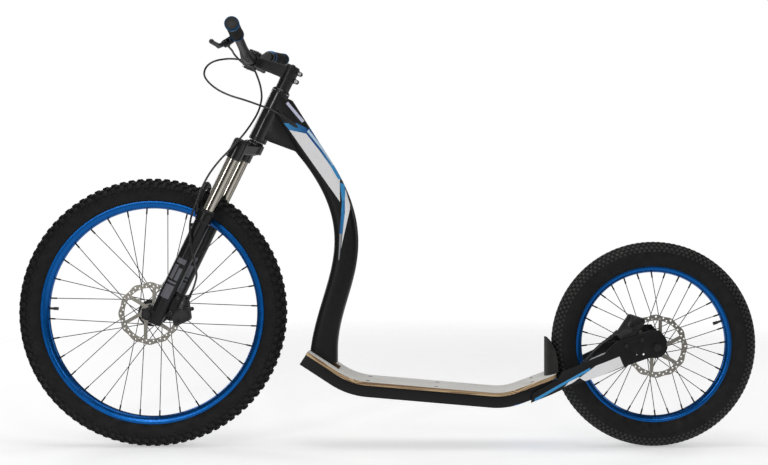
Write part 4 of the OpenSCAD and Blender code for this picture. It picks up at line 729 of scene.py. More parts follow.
def applied(made: bpy.types.Object) -> bpy.types.Object:
    """Bakes a piece's modifiers into its mesh.

    Args:
        made: The piece.

    Returns:
        The same piece, without modifiers.
    """
    bpy.context.view_layer.update()
    done = made.evaluated_get(bpy.context.evaluated_depsgraph_get())
    mesh = bpy.data.meshes.new_from_object(done)
    made.modifiers.clear()
    old = made.data
    made.data = mesh
    bpy.data.meshes.remove(old)
    mesh.name = made.name
    return made


def joined(name: str, parts: Sequence[bpy.types.Object]) -> bpy.types.Object:
    """Joins pieces that need no names of their own.

    Args:
        name: Name of the result.
        parts: The pieces.

    Returns:
        The joined piece.
    """
    bpy.ops.object.select_all(action="DESELECT")
    for part in parts:
        part.select_set(True)
    bpy.context.view_layer.objects.active = parts[0]
    if len(parts) > 1:
        bpy.ops.object.join()
    parts[0].name = name
    parts[0].data.name = name
    return parts[0]


def node_copy(name: str, node: str) -> bpy.types.Object:
    """Copies a CAD node's mesh with its loose triangles merged.

    Args:
        name: Name of the new piece.
        node: The CAD node.

    Returns:
        The copy.
    """
    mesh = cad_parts[node].data.copy()
    mesh.materials.clear()
    mesh.name = name
    work = bmesh.new()
    work.from_mesh(mesh)
    bmesh.ops.remove_doubles(work, verts=work.verts, dist=2e-6)
    for edge in work.edges:
        edge.smooth = True
    work.to_mesh(mesh)
    work.free()
    for layer in list(mesh.attributes):
        if layer.name.startswith("custom_normal"):
            mesh.attributes.remove(layer)
    made = bpy.data.objects.new(name, mesh)
    bpy.context.scene.collection.objects.link(made)
    return made


def cast(name: str, node: str, finish: str, voxel: float = 1.2, steps: int = 4, keep: float = 0.35
         ) -> bpy.types.Object:
    """Gives a CAD node the soft corners of a casting or a forging.

    Args:
        name: Name of the new piece.
        node: The CAD node.
        finish: Its finish.
        voxel: Grid size, in millimetres.
        steps: Smoothing steps.
        keep: Share of the faces kept.

    Returns:
        The new piece.
    """
    made = node_copy(name, node)
    grid = made.modifiers.new("grid", "REMESH")
    grid.mode = "VOXEL"
    grid.voxel_size = voxel * MM
    soft = made.modifiers.new("soft", "SMOOTH")
    soft.factor = 0.5
    soft.iterations = steps
    thin = made.modifiers.new("thin", "DECIMATE")
    thin.ratio = keep
    applied(made)
    made.data.materials.append(SHOP.get(finish))
    made.data.shade_smooth()
    made.data.set_sharp_from_angle(angle=math.radians(55))
    return made


def eased(name: str, node: str, finish: str, width: float = 0.8, segments: int = 2) -> bpy.types.Object:
    """Gives a CAD node rounded edges and keeps its faces true.

    Args:
        name: Name of the new piece.
        node: The CAD node.
        finish: Its finish.
        width: Width of the rounding, in millimetres.
        segments: Steps in it.

    Returns:
        The new piece.
    """
    made = node_copy(name, node)
    work = bmesh.new()
    work.from_mesh(made.data)
    bmesh.ops.dissolve_limit(work, angle_limit=math.radians(0.5), verts=work.verts, edges=work.edges)
    work.to_mesh(made.data)
    work.free()
    edge = made.modifiers.new("edge", "BEVEL")
    edge.width = width * MM
    edge.segments = segments
    edge.limit_method = "ANGLE"
    edge.angle_limit = math.radians(35)
    edge.harden_normals = False
    applied(made)
    made.data.materials.append(SHOP.get(finish))
    made.data.shade_smooth()
    made.data.set_sharp_from_angle(angle=math.radians(38))
    return made


def lathe(name: str, profile: Sequence[Flat], centre: Vector, finish: str, steps: int = 128,
          axis: Vector = Vector((0, 1, 0)), smooth: float = 40.0) -> bpy.types.Object:
    """Turns a closed outline round an axis.

    Args:
        name: Name of the piece.
        profile: Outline as radius and place along the axis.
        centre: A point on the axis.
        finish: Its finish.
        steps: Steps round the axis.
        axis: Direction of the axis.
        smooth: Angle above which an edge stays sharp.

    Returns:
        The piece.
    """
    axis = axis.normalized()
    first = axis.cross(Vector((0, 0, 1)) if abs(axis.z) < 0.9 else Vector((1, 0, 0))).normalized()
    second = axis.cross(first)
    count = len(profile)
    points = [centre + axis * z + (first * math.cos(a) + second * math.sin(a)) * r
              for a in (2 * math.pi * k / steps for k in range(steps)) for r, z in profile]
    faces = [(k * count + j, k * count + (j + 1) % count, ((k + 1) % steps) * count + (j + 1) % count,
              ((k + 1) % steps) * count + j) for k in range(steps) for j in range(count)]
    return piece(name, points, faces, finish, smooth)


def smooth_route(points: Sequence[Vector], steps: int = 6) -> list[Vector]:
    """A smooth curve through points.

    Args:
        points: The points.
        steps: Steps between each pair.

    Returns:
        The curve's points.
    """
    line: list[Vector] = []
    last = len(points) - 1
    for i in range(last):
        a, b, c, d = points[max(i - 1, 0)], points[i], points[i + 1], points[min(i + 2, last)]
        for k in range(steps):
            t = k / steps
            line.append(0.5 * (2 * b + (c - a) * t + (2 * a - 5 * b + 4 * c - d) * t * t
                               + (3 * b - a - 3 * c + d) * t ** 3))
    return [*line, points[last].copy()]


def swept(name: str, route: Sequence[Vector], radii: Sequence[float], finish: str, sides: int = 32
          ) -> bpy.types.Object:
    """Sweeps a round section along a route.

    Args:
        name: Name of the piece.
        route: Points of the middle line.
        radii: Radius at each point.
        finish: Its finish.
        sides: Sides of the section.

    Returns:
        The piece, closed at both ends.
    """
    points: list[Vector] = []
    normal = Vector((0.3, 0.1, 1.0))
    for i, (place, radius) in enumerate(zip(route, radii)):
        along = (route[min(i + 1, len(route) - 1)] - route[max(i - 1, 0)]).normalized()
        normal = (normal - along * normal.dot(along)).normalized()
        across = along.cross(normal)
        points += [place + (normal * math.cos(a) + across * math.sin(a)) * radius
                   for a in (2 * math.pi * k / sides for k in range(sides))]
    faces: list[Sequence[int]] = [
        (i * sides + k, i * sides + (k + 1) % sides, (i + 1) * sides + (k + 1) % sides, (i + 1) * sides + k)
        for i in range(len(route) - 1) for k in range(sides)]
    faces.append(tuple(range(sides))[::-1])
    faces.append(tuple((len(route) - 1) * sides + k for k in range(sides)))
    return piece(name, points, faces, finish, 60.0)


# ---------------------------------------------------------------- geometry trees


class GrowTree:
    """A Geometry Nodes tree with named sizes."""

    def __init__(self, name: str, takes: Sequence[tuple[str, str, Any]]) -> None:
        """Starts the tree.

        Args:
            name: The tree's name.
            takes: Name, socket type and default of each size.
        """
        self.tree = bpy.data.node_groups.new(name, "GeometryNodeTree")
        self.tree.interface.new_socket("Geometry", in_out="INPUT", socket_type="NodeSocketGeometry")
        self.sockets: dict[str, str] = {}
        for label, kind, default in takes:
            socket = self.tree.interface.new_socket(label, in_out="INPUT", socket_type=kind)
            if default is not None:
                socket.default_value = default
            self.sockets[label] = socket.identifier
        material = self.tree.interface.new_socket("Finish", in_out="INPUT", socket_type="NodeSocketMaterial")
        self.sockets["Finish"] = material.identifier
        self.tree.interface.new_socket("Geometry", in_out="OUTPUT", socket_type="NodeSocketGeometry")
        self.w = Wiring(self.tree)
        self.start = self.w.put("NodeGroupInput")
        self.end = self.w.put("NodeGroupOutput")

    def size(self, label: str) -> bpy.types.NodeSocket:
        """Gives the socket of a named size."""
        return self.start.outputs[label]

    def calc(self, operation: str, a: Any, b: Any = 0.0) -> bpy.types.NodeSocket:
        """Adds a Math node and gives its result."""
        return self.w.calc(operation, a, b)

    def close(self, geometry: bpy.types.NodeSocket) -> None:
        """Ends the tree with real geometry and its finish.

        Args:
            geometry: The instances to make real.
        """
        real = self.w.put("GeometryNodeRealizeInstances", {0: geometry})
        dressed = self.w.put("GeometryNodeSetMaterial", {0: real.outputs[0], "Material": self.size("Finish")})
        self.tree.links.new(dressed.outputs[0], self.end.inputs[0])

    def grow(self, name: str, finish: str, sizes: dict[str, Any], smooth: float | None = None,
             path: Sequence[Vector] = ()) -> bpy.types.Object:
        """Runs the tree and keeps the result as a plain mesh.

        Args:
            name: Name of the piece.
            finish: Its finish.
            sizes: A value for each named size.
            smooth: Angle above which an edge stays sharp, or None for flat faces.
            path: Points of a line that the tree follows, in millimetres.

        Returns:
            The piece.
        """
        made = bpy.data.objects.new(name, bpy.data.meshes.new(name))
        made.data.from_pydata([tuple(p * MM) for p in path], [(k, k + 1) for k in range(len(path) - 1)], [])
        bpy.context.scene.collection.objects.link(made)
        modifier = made.modifiers.new("grow", "NODES")
        modifier.node_group = self.tree
        for label, value in sizes.items():
            modifier[self.sockets[label]] = value
        modifier[self.sockets["Finish"]] = SHOP.get(finish)
        applied(made)
        if smooth is None:
            made.data.shade_flat()
        else:
            made.data.shade_smooth()
            made.data.set_sharp_from_angle(angle=math.radians(smooth))
        return made


BLOCK_ROOT = 0.8


def block_ring_tree() -> GrowTree:
    """A ring of tapered rubber blocks round a wheel's axle.

    Returns:
        The tree.
    """
    g = GrowTree("block_ring", [
        ("Count", "NodeSocketInt", 120), ("Radius", "NodeSocketFloat", 0.33),
        ("Side", "NodeSocketFloat", 0.0), ("Lean", "NodeSocketFloat", 0.0),
        ("Long", "NodeSocketFloat", 0.01), ("Wide", "NodeSocketFloat", 0.008),
        ("Tall", "NodeSocketFloat", 0.006), ("Taper", "NodeSocketFloat", 0.75),
        ("Phase", "NodeSocketFloat", 0.0), ("Centre", "NodeSocketVector", (0.0, 0.0, 0.0))])
    w = g.w
    root = g.calc("MULTIPLY", g.size("Tall"), BLOCK_ROOT)
    size = w.put("ShaderNodeCombineXYZ", {0: g.size("Long"), 1: g.size("Wide"), 2: root})
    block = w.put("GeometryNodeMeshCube", {"Size": size.outputs[0]})
    normal = w.put("GeometryNodeInputNormal")
    up = w.put("ShaderNodeSeparateXYZ", {0: normal.outputs[0]})
    top = w.put("FunctionNodeCompare", {0: up.outputs[2], 1: 0.5}, data_type="FLOAT",
                operation="GREATER_THAN")
    lift = g.calc("MULTIPLY", g.size("Tall"), 1.0 - BLOCK_ROOT)
    cap = w.put("GeometryNodeExtrudeMesh", {"Mesh": block.outputs[0], "Selection": top.outputs[0],
                                            "Offset Scale": lift}, mode="FACES")
    small = w.put("GeometryNodeScaleElements", {"Geometry": cap.outputs[0], "Selection": cap.outputs[1],
                                                "Scale": g.size("Taper")}, domain="FACE")
    number = w.put("GeometryNodeInputIndex")
    share = g.calc("DIVIDE", g.calc("ADD", number.outputs[0], g.size("Phase")), g.size("Count"))
    angle = g.calc("MULTIPLY", share, 2 * math.pi)
    x = g.calc("MULTIPLY", g.calc("COSINE", angle), g.size("Radius"))
    z = g.calc("MULTIPLY", g.calc("SINE", angle), g.size("Radius"))
    flat = w.put("ShaderNodeCombineXYZ", {0: x, 1: g.size("Side"), 2: z})
    place = w.put("ShaderNodeVectorMath", {0: flat.outputs[0], 1: g.size("Centre")}, operation="ADD")
    spots = w.put("GeometryNodePoints", {"Count": g.size("Count"), "Position": place.outputs[0]})
    aim = w.put("ShaderNodeCombineXYZ", {0: g.size("Lean"), 1: g.calc("SUBTRACT", math.pi / 2, angle)})
    turned = w.put("FunctionNodeEulerToRotation", {0: aim.outputs[0]})
    spread = w.put("GeometryNodeInstanceOnPoints", {"Points": spots.outputs[0], "Instance": small.outputs[0],
                                                    "Rotation": turned.outputs[0]})
    g.close(spread.outputs[0])
    return g


def rib_tree() -> GrowTree:
    """Round ribs set along a straight line.

    Returns:
        The tree.
    """
    g = GrowTree("ribs_along_line", [
        ("Count", "NodeSocketInt", 20), ("Start", "NodeSocketVector", (0.0, 0.0, 0.0)),
        ("Step", "NodeSocketVector", (0.0, 0.005, 0.0)), ("Radius", "NodeSocketFloat", 0.016),
        ("Thick", "NodeSocketFloat", 0.0012), ("Turn", "NodeSocketVector", (0.0, 0.0, 0.0))])
    w = g.w
    ring = w.put("GeometryNodeCurvePrimitiveCircle", {"Resolution": 48, "Radius": g.size("Radius")})
    bead = w.put("GeometryNodeCurvePrimitiveCircle", {"Resolution": 8, "Radius": g.size("Thick")})
    rib = w.put("GeometryNodeCurveToMesh", {0: ring.outputs[0], 1: bead.outputs[0]})
    line = w.put("GeometryNodeMeshLine", {"Count": g.size("Count"), "Start Location": g.size("Start"),
                                          "Offset": g.size("Step")})
    turned = w.put("FunctionNodeEulerToRotation", {0: g.size("Turn")})
    spread = w.put("GeometryNodeInstanceOnPoints", {"Points": line.outputs[0], "Instance": rib.outputs[0],
                                                    "Rotation": turned.outputs[0]})
    g.close(spread.outputs[0])
    return g


def sheath_tree() -> GrowTree:
    """A round sheath that follows a line of points.

    Returns:
        The tree.
    """
    g = GrowTree("sheath_on_line", [("Radius", "NodeSocketFloat", 0.0025), ("Sides", "NodeSocketInt", 16)])
    w = g.w
    line = w.put("GeometryNodeMeshToCurve", {0: g.start.outputs[0]})
    ring = w.put("GeometryNodeCurvePrimitiveCircle", {"Resolution": g.size("Sides"),
                                                      "Radius": g.size("Radius")})
    skin = w.put("GeometryNodeCurveToMesh", {"Curve": line.outputs[0], "Profile Curve": ring.outputs[0],
                                             "Fill Caps": True})
    g.close(skin.outputs[0])
    return g


# ---------------------------------------------------------------- sub-assemblies


@dataclass
class BlockRow:
    """One row of tread blocks: its place across the casing and its sizes, in millimetres."""

    angle: float
    count: int
    long: float
    wide: float
    tall: float
    phase: float = 0.0
    taper: float = 0.78
    sink: float = 1.2


@dataclass
class Tyre:
    """A tyre: a moulded casing with rows of blocks."""

    name: str
    body: str
    centre: Vector
    casing_r: float
    flange_r: float
    half_w: float
    rows: tuple[BlockRow, ...]
    tread: str = "tyre_rubber"
    bead_half: float = 12.5
    wall: float = 3.0
    foot_below: float = 2.0
    reach: int = 148

    def _section(self, angle: float, inset: float = 0.0) -> tuple[Flat, Flat]:
        """A point on the casing and its outward direction.

        Args:
            angle: Degrees from the crown towards the bead.
            inset: Distance inside the surface.

        Returns:
            Radius and side of the point, and its outward direction.
        """
        middle = self.casing_r - 0.9 * self.half_w - 1.5
        a = math.radians(angle)
        tall = self.casing_r - middle if math.cos(a) > 0 else (middle - self.flange_r) / 0.85
        side = self.half_w
        normal = Vector((math.cos(a) * side, math.sin(a) * tall)).normalized()
        return ((middle + math.cos(a) * tall - normal.x * inset, math.sin(a) * side - normal.y * inset),
                (normal.x, normal.y))

    def build(self, blocks: GrowTree) -> bpy.types.Object:
        """Builds the tyre.

        Args:
            blocks: The tree that makes a ring of blocks.

        Returns:
            The finished tyre, riding on its wheel.
        """
        outer = [self._section(a)[0] for a in range(-self.reach, self.reach + 1, 4)]
        inner = [self._section(a, self.wall)[0] for a in range(self.reach, -self.reach - 1, -8)]
        foot = self.flange_r - self.foot_below
        profile = [(foot, -self.bead_half), *outer, (foot, self.bead_half),
                   (foot, self.bead_half - self.wall), *inner, (foot, -self.bead_half + self.wall)]
        casing = lathe(self.name, profile, self.centre, "tyre_rubber", 192)
        parts = [casing]
        for number, row in enumerate(self.rows):
            for side in ((1, -1) if abs(row.angle) > 1 else (1,)):
                (r, y), (out, over) = self._section(row.angle * side, row.sink - row.tall * BLOCK_ROOT / 2)
                parts.append(blocks.grow(f"{self.name}_row_{number}_{side}", self.tread, {
                    "Count": row.count, "Radius": r * MM, "Side": y * MM, "Lean": -math.atan2(over, out),
                    "Long": row.long * MM, "Wide": row.wide * MM, "Tall": row.tall * MM, "Taper": row.taper,
                    "Phase": row.phase, "Centre": self.centre * MM}))
        made = joined(self.name, parts)
        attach(made, self.body)
        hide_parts(self.name.replace("_casing", ""))
        return made


@dataclass
class Rim:
    """A hollow-backed rim with curved walls, turned round its axle."""

    name: str
    node: str
    body: str
    centre: Vector
    flange_r: float
    depth: float
    half_w: float = 15.0
    lip: float = 3.0
    seat: float = 7.0
    band: float = 3.5
    corner: float = 0.8

    def build(self) -> None:
        """Builds the rim in place of its CAD node."""
        top = self.flange_r - self.band
        outer = [(top - (self.depth - self.band) * math.cos(math.radians(a)),
                  self.half_w * math.sin(math.radians(a))) for a in range(-90, 91, 6)]
        inside = self.half_w - self.lip
        seat_r = self.flange_r - self.seat
        shoulder, face = self.flange_r - self.corner, self.half_w - self.corner
        profile = [(shoulder, -self.half_w), *outer, (shoulder, self.half_w), (self.flange_r, face),
                   (self.flange_r, inside), (seat_r, inside), (seat_r, -inside),
                   (self.flange_r, -inside), (self.flange_r, -face)]
        made = lathe(self.name, profile, self.centre, "rim_blue", 256, smooth=30.0)
        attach(made, self.body)
        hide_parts(self.node)


@dataclass
class MainTube:
    """The swept main tube, lofted between its front and rear edges, with its gusset."""

    width: float = 50.0
    neck: float = 44.0
    square: float = 0.62
    sides: int = 96
    steps: int = 70
    front: tuple[Flat, ...] = ((-197.0, 249.0), (-174.0, 425.0), (-59.7, 530.2), (-219.7, 735.2))
    rear: tuple[Flat, ...] = ((-128.0, 246.0), (-128.0, 395.0), (2.3, 503.2), (-147.7, 735.2))
    foot: tuple[Flat, Flat] = ((-200.5, 222.0), (-128.0, 215.0))
    head: Flat = (597.0, 667.0)
    head_steps: int = 12
    neck_rate: float = 2.2
    top_cut: float = 644.6

    def _bezier(self, p: Sequence[Flat], t: float) -> Vector:
        """A point on a cubic curve."""
        shares = ((1 - t) ** 3, 3 * (1 - t) ** 2 * t, 3 * (1 - t) * t * t, t ** 3)
        x, z = (sum(s * q[k] for s, q in zip(shares, p)) for k in (0, 1))
        return Vector((x, 0.0, z))

    def build(self) -> None:
        """Builds the tube and the gusset, and hides their CAD nodes."""
        pairs = [(*(Vector((x, 0.0, z)) for x, z in self.foot), self.width)]
        pairs += [(self._bezier(self.front, t), self._bezier(self.rear, t), self.width)
                  for t in (k / self.steps for k in range(self.steps + 1))]
        front, rear, _ = pairs[-1]
        for t in (k / self.head_steps for k in range(1, self.head_steps + 1)):
            neck = self.width + (self.neck - self.width) * min(1.0, t * self.neck_rate)
            pairs.append((front.lerp(steering_point(self.head[0]), t),
                          rear.lerp(steering_point(self.head[1]), t), neck))
        points: list[Vector] = []
        for front, rear, width in pairs:
            middle, half = (front + rear) / 2, (rear - front) / 2
            for k in range(self.sides):
                a = 2 * math.pi * k / self.sides
                u = math.copysign(abs(math.cos(a)) ** self.square, math.cos(a))
                v = math.copysign(abs(math.sin(a)) ** self.square, math.sin(a))
                points.append(middle + half * u + Vector((0.0, v * width / 2, 0.0)))
        rows = len(pairs)
        faces: list[Sequence[int]] = [
            (i * self.sides + k, i * self.sides + (k + 1) % self.sides,
             (i + 1) * self.sides + (k + 1) % self.sides, (i + 1) * self.sides + k)
            for i in range(rows - 1) for k in range(self.sides)]
        faces.append(tuple(range(self.sides)))
        faces.append(tuple((rows - 1) * self.sides + k for k in range(self.sides)))
        tube = piece("swept_main_tube", points, faces, "tube_black", 50.0)
        work = bmesh.new()
        work.from_mesh(tube.data)
        cut = bmesh.ops.bisect_plane(work, geom=[*work.verts, *work.edges, *work.faces],
                                     plane_co=steering_point(self.top_cut) * MM, plane_no=AXIS_UP,
                                     clear_outer=True)
        rim = [e for e in cut["geom_cut"] if isinstance(e, bmesh.types.BMEdge)]
        bmesh.ops.contextual_create(work, geom=rim)
        work.to_mesh(tube.data)
        work.free()
        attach(tube, "frame")
        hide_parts("main_tube")
        gusset = eased("head_tube_gusset", "head_gusset", "frame_black", 2.5, 3)
        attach(gusset, "frame")
        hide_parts("head_gusset")


@dataclass
class Deck:
    """The deck: its board, the box under it, the heel guard and the rear stays."""

    edge: float = 1.2
    sample: float = 4.0
    top_slope: float = 0.75

    def build(self) -> None:
        """Builds the deck's pieces."""
        self._board()
        for name, node, finish, width in (("deck_base_shell", "deck_base", "base_black", 2.2),
                                          ("left_forged_stay", "left_stay", "stay_black", 2.5),
                                          ("right_forged_stay", "right_stay", "stay_black", 2.5),
                                          ("heel_guard_shell", "heel_guard", "guard_plastic", 0.9)):
            made = eased(name, node, finish, width, 3)
            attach(made, "frame")
            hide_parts(node)

    def _board(self) -> None:
        """Builds the board with a white top and a layered edge."""
        made = eased("deck_board_ply", "deck_board", "board_white", self.edge, 2)
        mesh = made.data
        mesh.materials.append(SHOP.get("ply_edge"))
        bottom = mesh.attributes.new("below_top", "FLOAT", "POINT")
        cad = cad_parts["deck_board"].data
        tops: dict[int, float] = {}
        for vertex in cad.vertices:
            key = round(vertex.co.x / MM / self.sample)
            tops[key] = max(tops.get(key, 0.0), vertex.co.z / MM)
        keys = sorted(tops)
        depths = []
        for vertex in mesh.vertices:
            at = vertex.co.x / MM / self.sample
            low = max([k for k in keys if k <= at], default=keys[0])
            high = min([k for k in keys if k > at], default=keys[-1])
            share = 0.0 if high == low else (at - low) / (high - low)
            depths.append(tops[low] + (tops[high] - tops[low]) * share - vertex.co.z / MM)
        bottom.data.foreach_set("value", depths)
        for face in mesh.polygons:
            face.material_index = 0 if face.normal.z > self.top_slope else 1
        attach(made, "frame")
        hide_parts("deck_board")


@dataclass
class Cockpit:
    """The handlebar, its grips, the stem and the brake levers."""

    clamp_r: float = 15.9
    grip_r: float = 11.1
    straight: float = 161.3
    grip_from: float = 39.3
    grip_to: float = 151.3
    rubber_r: float = 15.0
    taper_from: float = 52.0
    taper_l: float = 75.0
    rib_count: int = 21
    rib_first: float = 6.0
    rib_step: float = 5.0
    rib_r: float = 1.1

    def _along(self, side: Side, y: float) -> Vector:
        """A point on the straight end of the bar.

        Args:
            side: Which side.
            y: Distance out from the bend.

        Returns:
            The point, in millimetres.
        """
        place = BAR_CENTRE + BAR_BEND + GRIP_DIR * y
        return Vector((place.x, place.y * side.value, place.z))

    def build(self, ribs: GrowTree) -> None:
        """Builds the cockpit's pieces.

        Args:
            ribs: The tree that makes ribs along a line.
        """
        self._bar()
        self._grips(ribs)
        for name, node, finish, voxel in (("forged_stem", "stem", "part_black", 0.9),
                                          ("stem_clamp_plate", "stem_faceplate", "part_black", 0.7),
                                          ("left_lever_bracket", "left_lever_mount", "lever_black", 0.6),
                                          ("right_lever_bracket", "right_lever_mount", "lever_black", 0.6)):
            made = cast(name, node, finish, voxel, 3, 0.3)
            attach(made, "steering_part")
            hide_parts(node)
        for name, node, body in (("left_lever_blade", "left_brake_lever", "left_lever"),
                                 ("right_lever_blade", "right_brake_lever", "right_lever")):
            made = cast(name, node, "lever_black", 0.6, 6, 0.3)
            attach(made, body)
            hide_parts(node)

    def _bar(self) -> None:
        """Builds the bent and tapered handlebar."""
        half = [Vector((0, 0, 0)), Vector((0, 30, 0)), Vector((0, 56, 0)), Vector((0.9, 84, 4.6)),
                Vector((2.2, 118, 13.6)), Vector((3.7, 160, 24.0)), Vector((4.6, 186, 30.2))]
        half += [BAR_BEND + GRIP_DIR * y for y in (6, 20, 60, 100, 140, self.straight)]
        left = [Vector((p.x, -p.y, p.z)) for p in half[:0:-1]]
        route = smooth_route([BAR_CENTRE + p for p in (*left, *half)], 5)
        radii = []
        for place in route:
            share = min(1.0, max(0.0, (abs(place.y) - self.taper_from) / self.taper_l))
            share = share * share * (3 - 2 * share)
            radii.append(self.clamp_r + (self.grip_r - self.clamp_r) * share)
        made = swept("riser_bar", route, radii, "bar_black", 40)
        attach(made, "steering_part")
        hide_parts("handlebar")

    def _grips(self, ribs: GrowTree) -> None:
        """Builds the ribbed grips."""
        parts = []
        for side in Side:
            start, end = self._along(side, self.grip_from), self._along(side, self.grip_to)
            axis = (end - start).normalized()
            length = self.grip_to - self.grip_from
            profile = [(self.grip_r, 0.2), (self.rubber_r - 0.6, 0.2), (self.rubber_r, 1.0),
                       (self.rubber_r, length - 1.0), (self.rubber_r - 0.6, length - 0.2),
                       (self.grip_r, length - 0.2)]
            parts.append(lathe(f"grip_{side.name.lower()}", profile, start, "grip_rubber", 64, axis))
            turn = axis.to_track_quat("Z", "Y").to_euler()
            parts.append(ribs.grow(f"grip_ribs_{side.name.lower()}", "grip_rubber", {
                "Count": self.rib_count, "Start": (start + axis * self.rib_first) * MM,
                "Step": axis * self.rib_step * MM, "Radius": (self.rubber_r - 0.1) * MM,
                "Thick": self.rib_r * MM, "Turn": tuple(turn)}, 60.0))
        made = joined("ribbed_grips", parts)
        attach(made, "steering_part")
        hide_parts("grips")


@dataclass
class Castings:
    """The cast pieces of the fork and the brakes."""

    pieces: tuple[tuple[str, str, str, str, float, int, float], ...] = (
        ("forged_crown", "fork_crown", "steering_part", "fork_gloss", 1.1, 6, 0.4),
        ("cast_fork_legs", "fork_lowers", "fork_slider", "fork_lower_black", 1.3, 4, 0.35),
    )
    crisp: tuple[tuple[str, str, str], ...] = (
        ("front_brake_body", "front_caliper", "fork_slider"),
        ("rear_brake_body", "rear_caliper", "frame"),
        ("front_brake_arm", "front_caliper_arm", "front_arm"),
        ("rear_brake_arm", "rear_caliper_arm", "rear_arm"),
    )
    screws: tuple[tuple[str, str, Vector, float, float], ...] = (
        ("front_brake_screws", "fork_slider", FRONT_AXLE, -48.0, 8.0),
        ("rear_brake_screws", "frame", REAR_AXLE, -65.5, 146.0),
    )
    screw_circle: float = 70.0
    screw_apart: float = 58.0

    def build(self) -> None:
        """Builds each casting in place of its CAD node."""
        for name, node, body, finish, voxel, steps, keep in self.pieces:
            made = cast(name, node, finish, voxel, steps, keep)
            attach(made, body)
            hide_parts(node)
            log.info("%s: %d faces", name, len(made.data.polygons))
        for name, node, body in self.crisp:
            made = eased(name, node, "part_black", 0.6, 2)
            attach(made, body)
            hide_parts(node)
        for name, body, axle, face, turn in self.screws:
            heads = [self._screw(axle, face, turn, share * self.screw_apart) for share in (-0.5, 0.5)]
            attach(joined(name, heads), body)

    def _screw(self, axle: Vector, face: float, turn: float, along: float) -> bpy.types.Object:
        """Builds one screw head on the outer face of a brake body.

        Args:
            axle: The wheel's axle.
            face: Side of the face it sits on.
            turn: Angle of the brake round the axle, in degrees.
            along: Place along the brake body.

        Returns:
            The screw head.
        """
        a = math.radians(turn)
        spot = axle + Vector((self.screw_circle * math.cos(a) - along * math.sin(a), 0.0,
                              self.screw_circle * math.sin(a) + along * math.cos(a)))
        spot.y = face
        profile = [(0.01, -0.5), (4.2, -0.5), (4.2, 2.6), (3.8, 3.2), (2.2, 3.2), (2.0, 1.2), (0.01, 1.2)]
        return lathe("screw_head", profile, spot, "black_steel", 32, Vector((0.0, -1.0, 0.0)))


FRONT_ROUTE: tuple[tuple[float, float, float], ...] = (
    (-370.0, -187.7, 1004.9), (-372.0, -168.2, 1002.9), (-370.0, -143.2, 997.9), (-368.0, -115.2, 988.9),
    (-353.0, -80.2, 971.9), (-336.7, -50.0, 965.2), (-324.7, -42.0, 938.2), (-316.7, -44.0, 908.2),
    (-315.7, -50.0, 880.2), (-324.7, -64.0, 845.2), (-350.7, -80.0, 800.2), (-384.7, -92.0, 758.2),
    (-411.7, -92.0, 730.2), (-436.7, -93.0, 697.2), (-457.0, -92.0, 659.7), (-473.0, -91.0, 619.7),
    (-485.0, -90.0, 579.7), (-486.0, -90.0, 539.7), (-481.0, -89.0, 499.7), (-475.0, -84.0, 469.7),
    (-474.0, -71.0, 442.7), (-481.0, -60.0, 420.7), (-489.0, -53.0, 402.7), (-494.8, -51.0, 391.2))
REAR_ROUTE: tuple[tuple[float, float, float], ...] = (
    (-370.0, 187.7, 1004.9), (-373.0, 160.2, 1002.9), (-381.0, 125.2, 1001.9), (-397.0, 75.2, 1000.9),
    (-417.7, 30.0, 997.2), (-443.7, -5.0, 987.2), (-460.7, -20.0, 971.2), (-464.7, -28.0, 950.2),
    (-451.7, -34.0, 930.2), (-427.7, -38.0, 911.2), (-395.7, -42.0, 896.2), (-357.7, -44.0, 884.2),
    (-317.7, -42.0, 870.2), (-289.7, -37.0, 859.2), (-261.7, -29.0, 842.2), (-245.7, -23.5, 829.7),
    (-230.7, -16.0, 812.2), (-212.7, -7.0, 785.2), (-183.7, 0.0, 735.2), (-120.9, 0.0, 616.2),
    (-106.0, 0.0, 515.9), (-120.4, 0.0, 426.4), (-145.4, 0.0, 339.6), (-162.5, 0.0, 247.5),
    (-152.0, 0.0, 208.0), (-136.0, -3.0, 186.0), (-100.0, -10.0, 161.0), (-50.0, -22.0, 149.0),
    (60.0, -29.0, 139.0), (170.0, -36.0, 129.5), (266.5, -40.0, 121.3), (284.7, -40.0, 120.7),
    (302.8, -40.0, 122.2), (320.7, -40.0, 125.7), (338.1, -40.0, 131.1), (380.0, -40.0, 146.6),
    (424.6, -40.0, 163.4), (440.6, -41.0, 171.4), (468.6, -44.0, 195.4), (498.7, -49.5, 221.4),
    (519.7, -53.5, 245.4), (541.7, -59.5, 268.4), (561.7, -66.5, 283.4), (573.2, -68.5, 292.9))


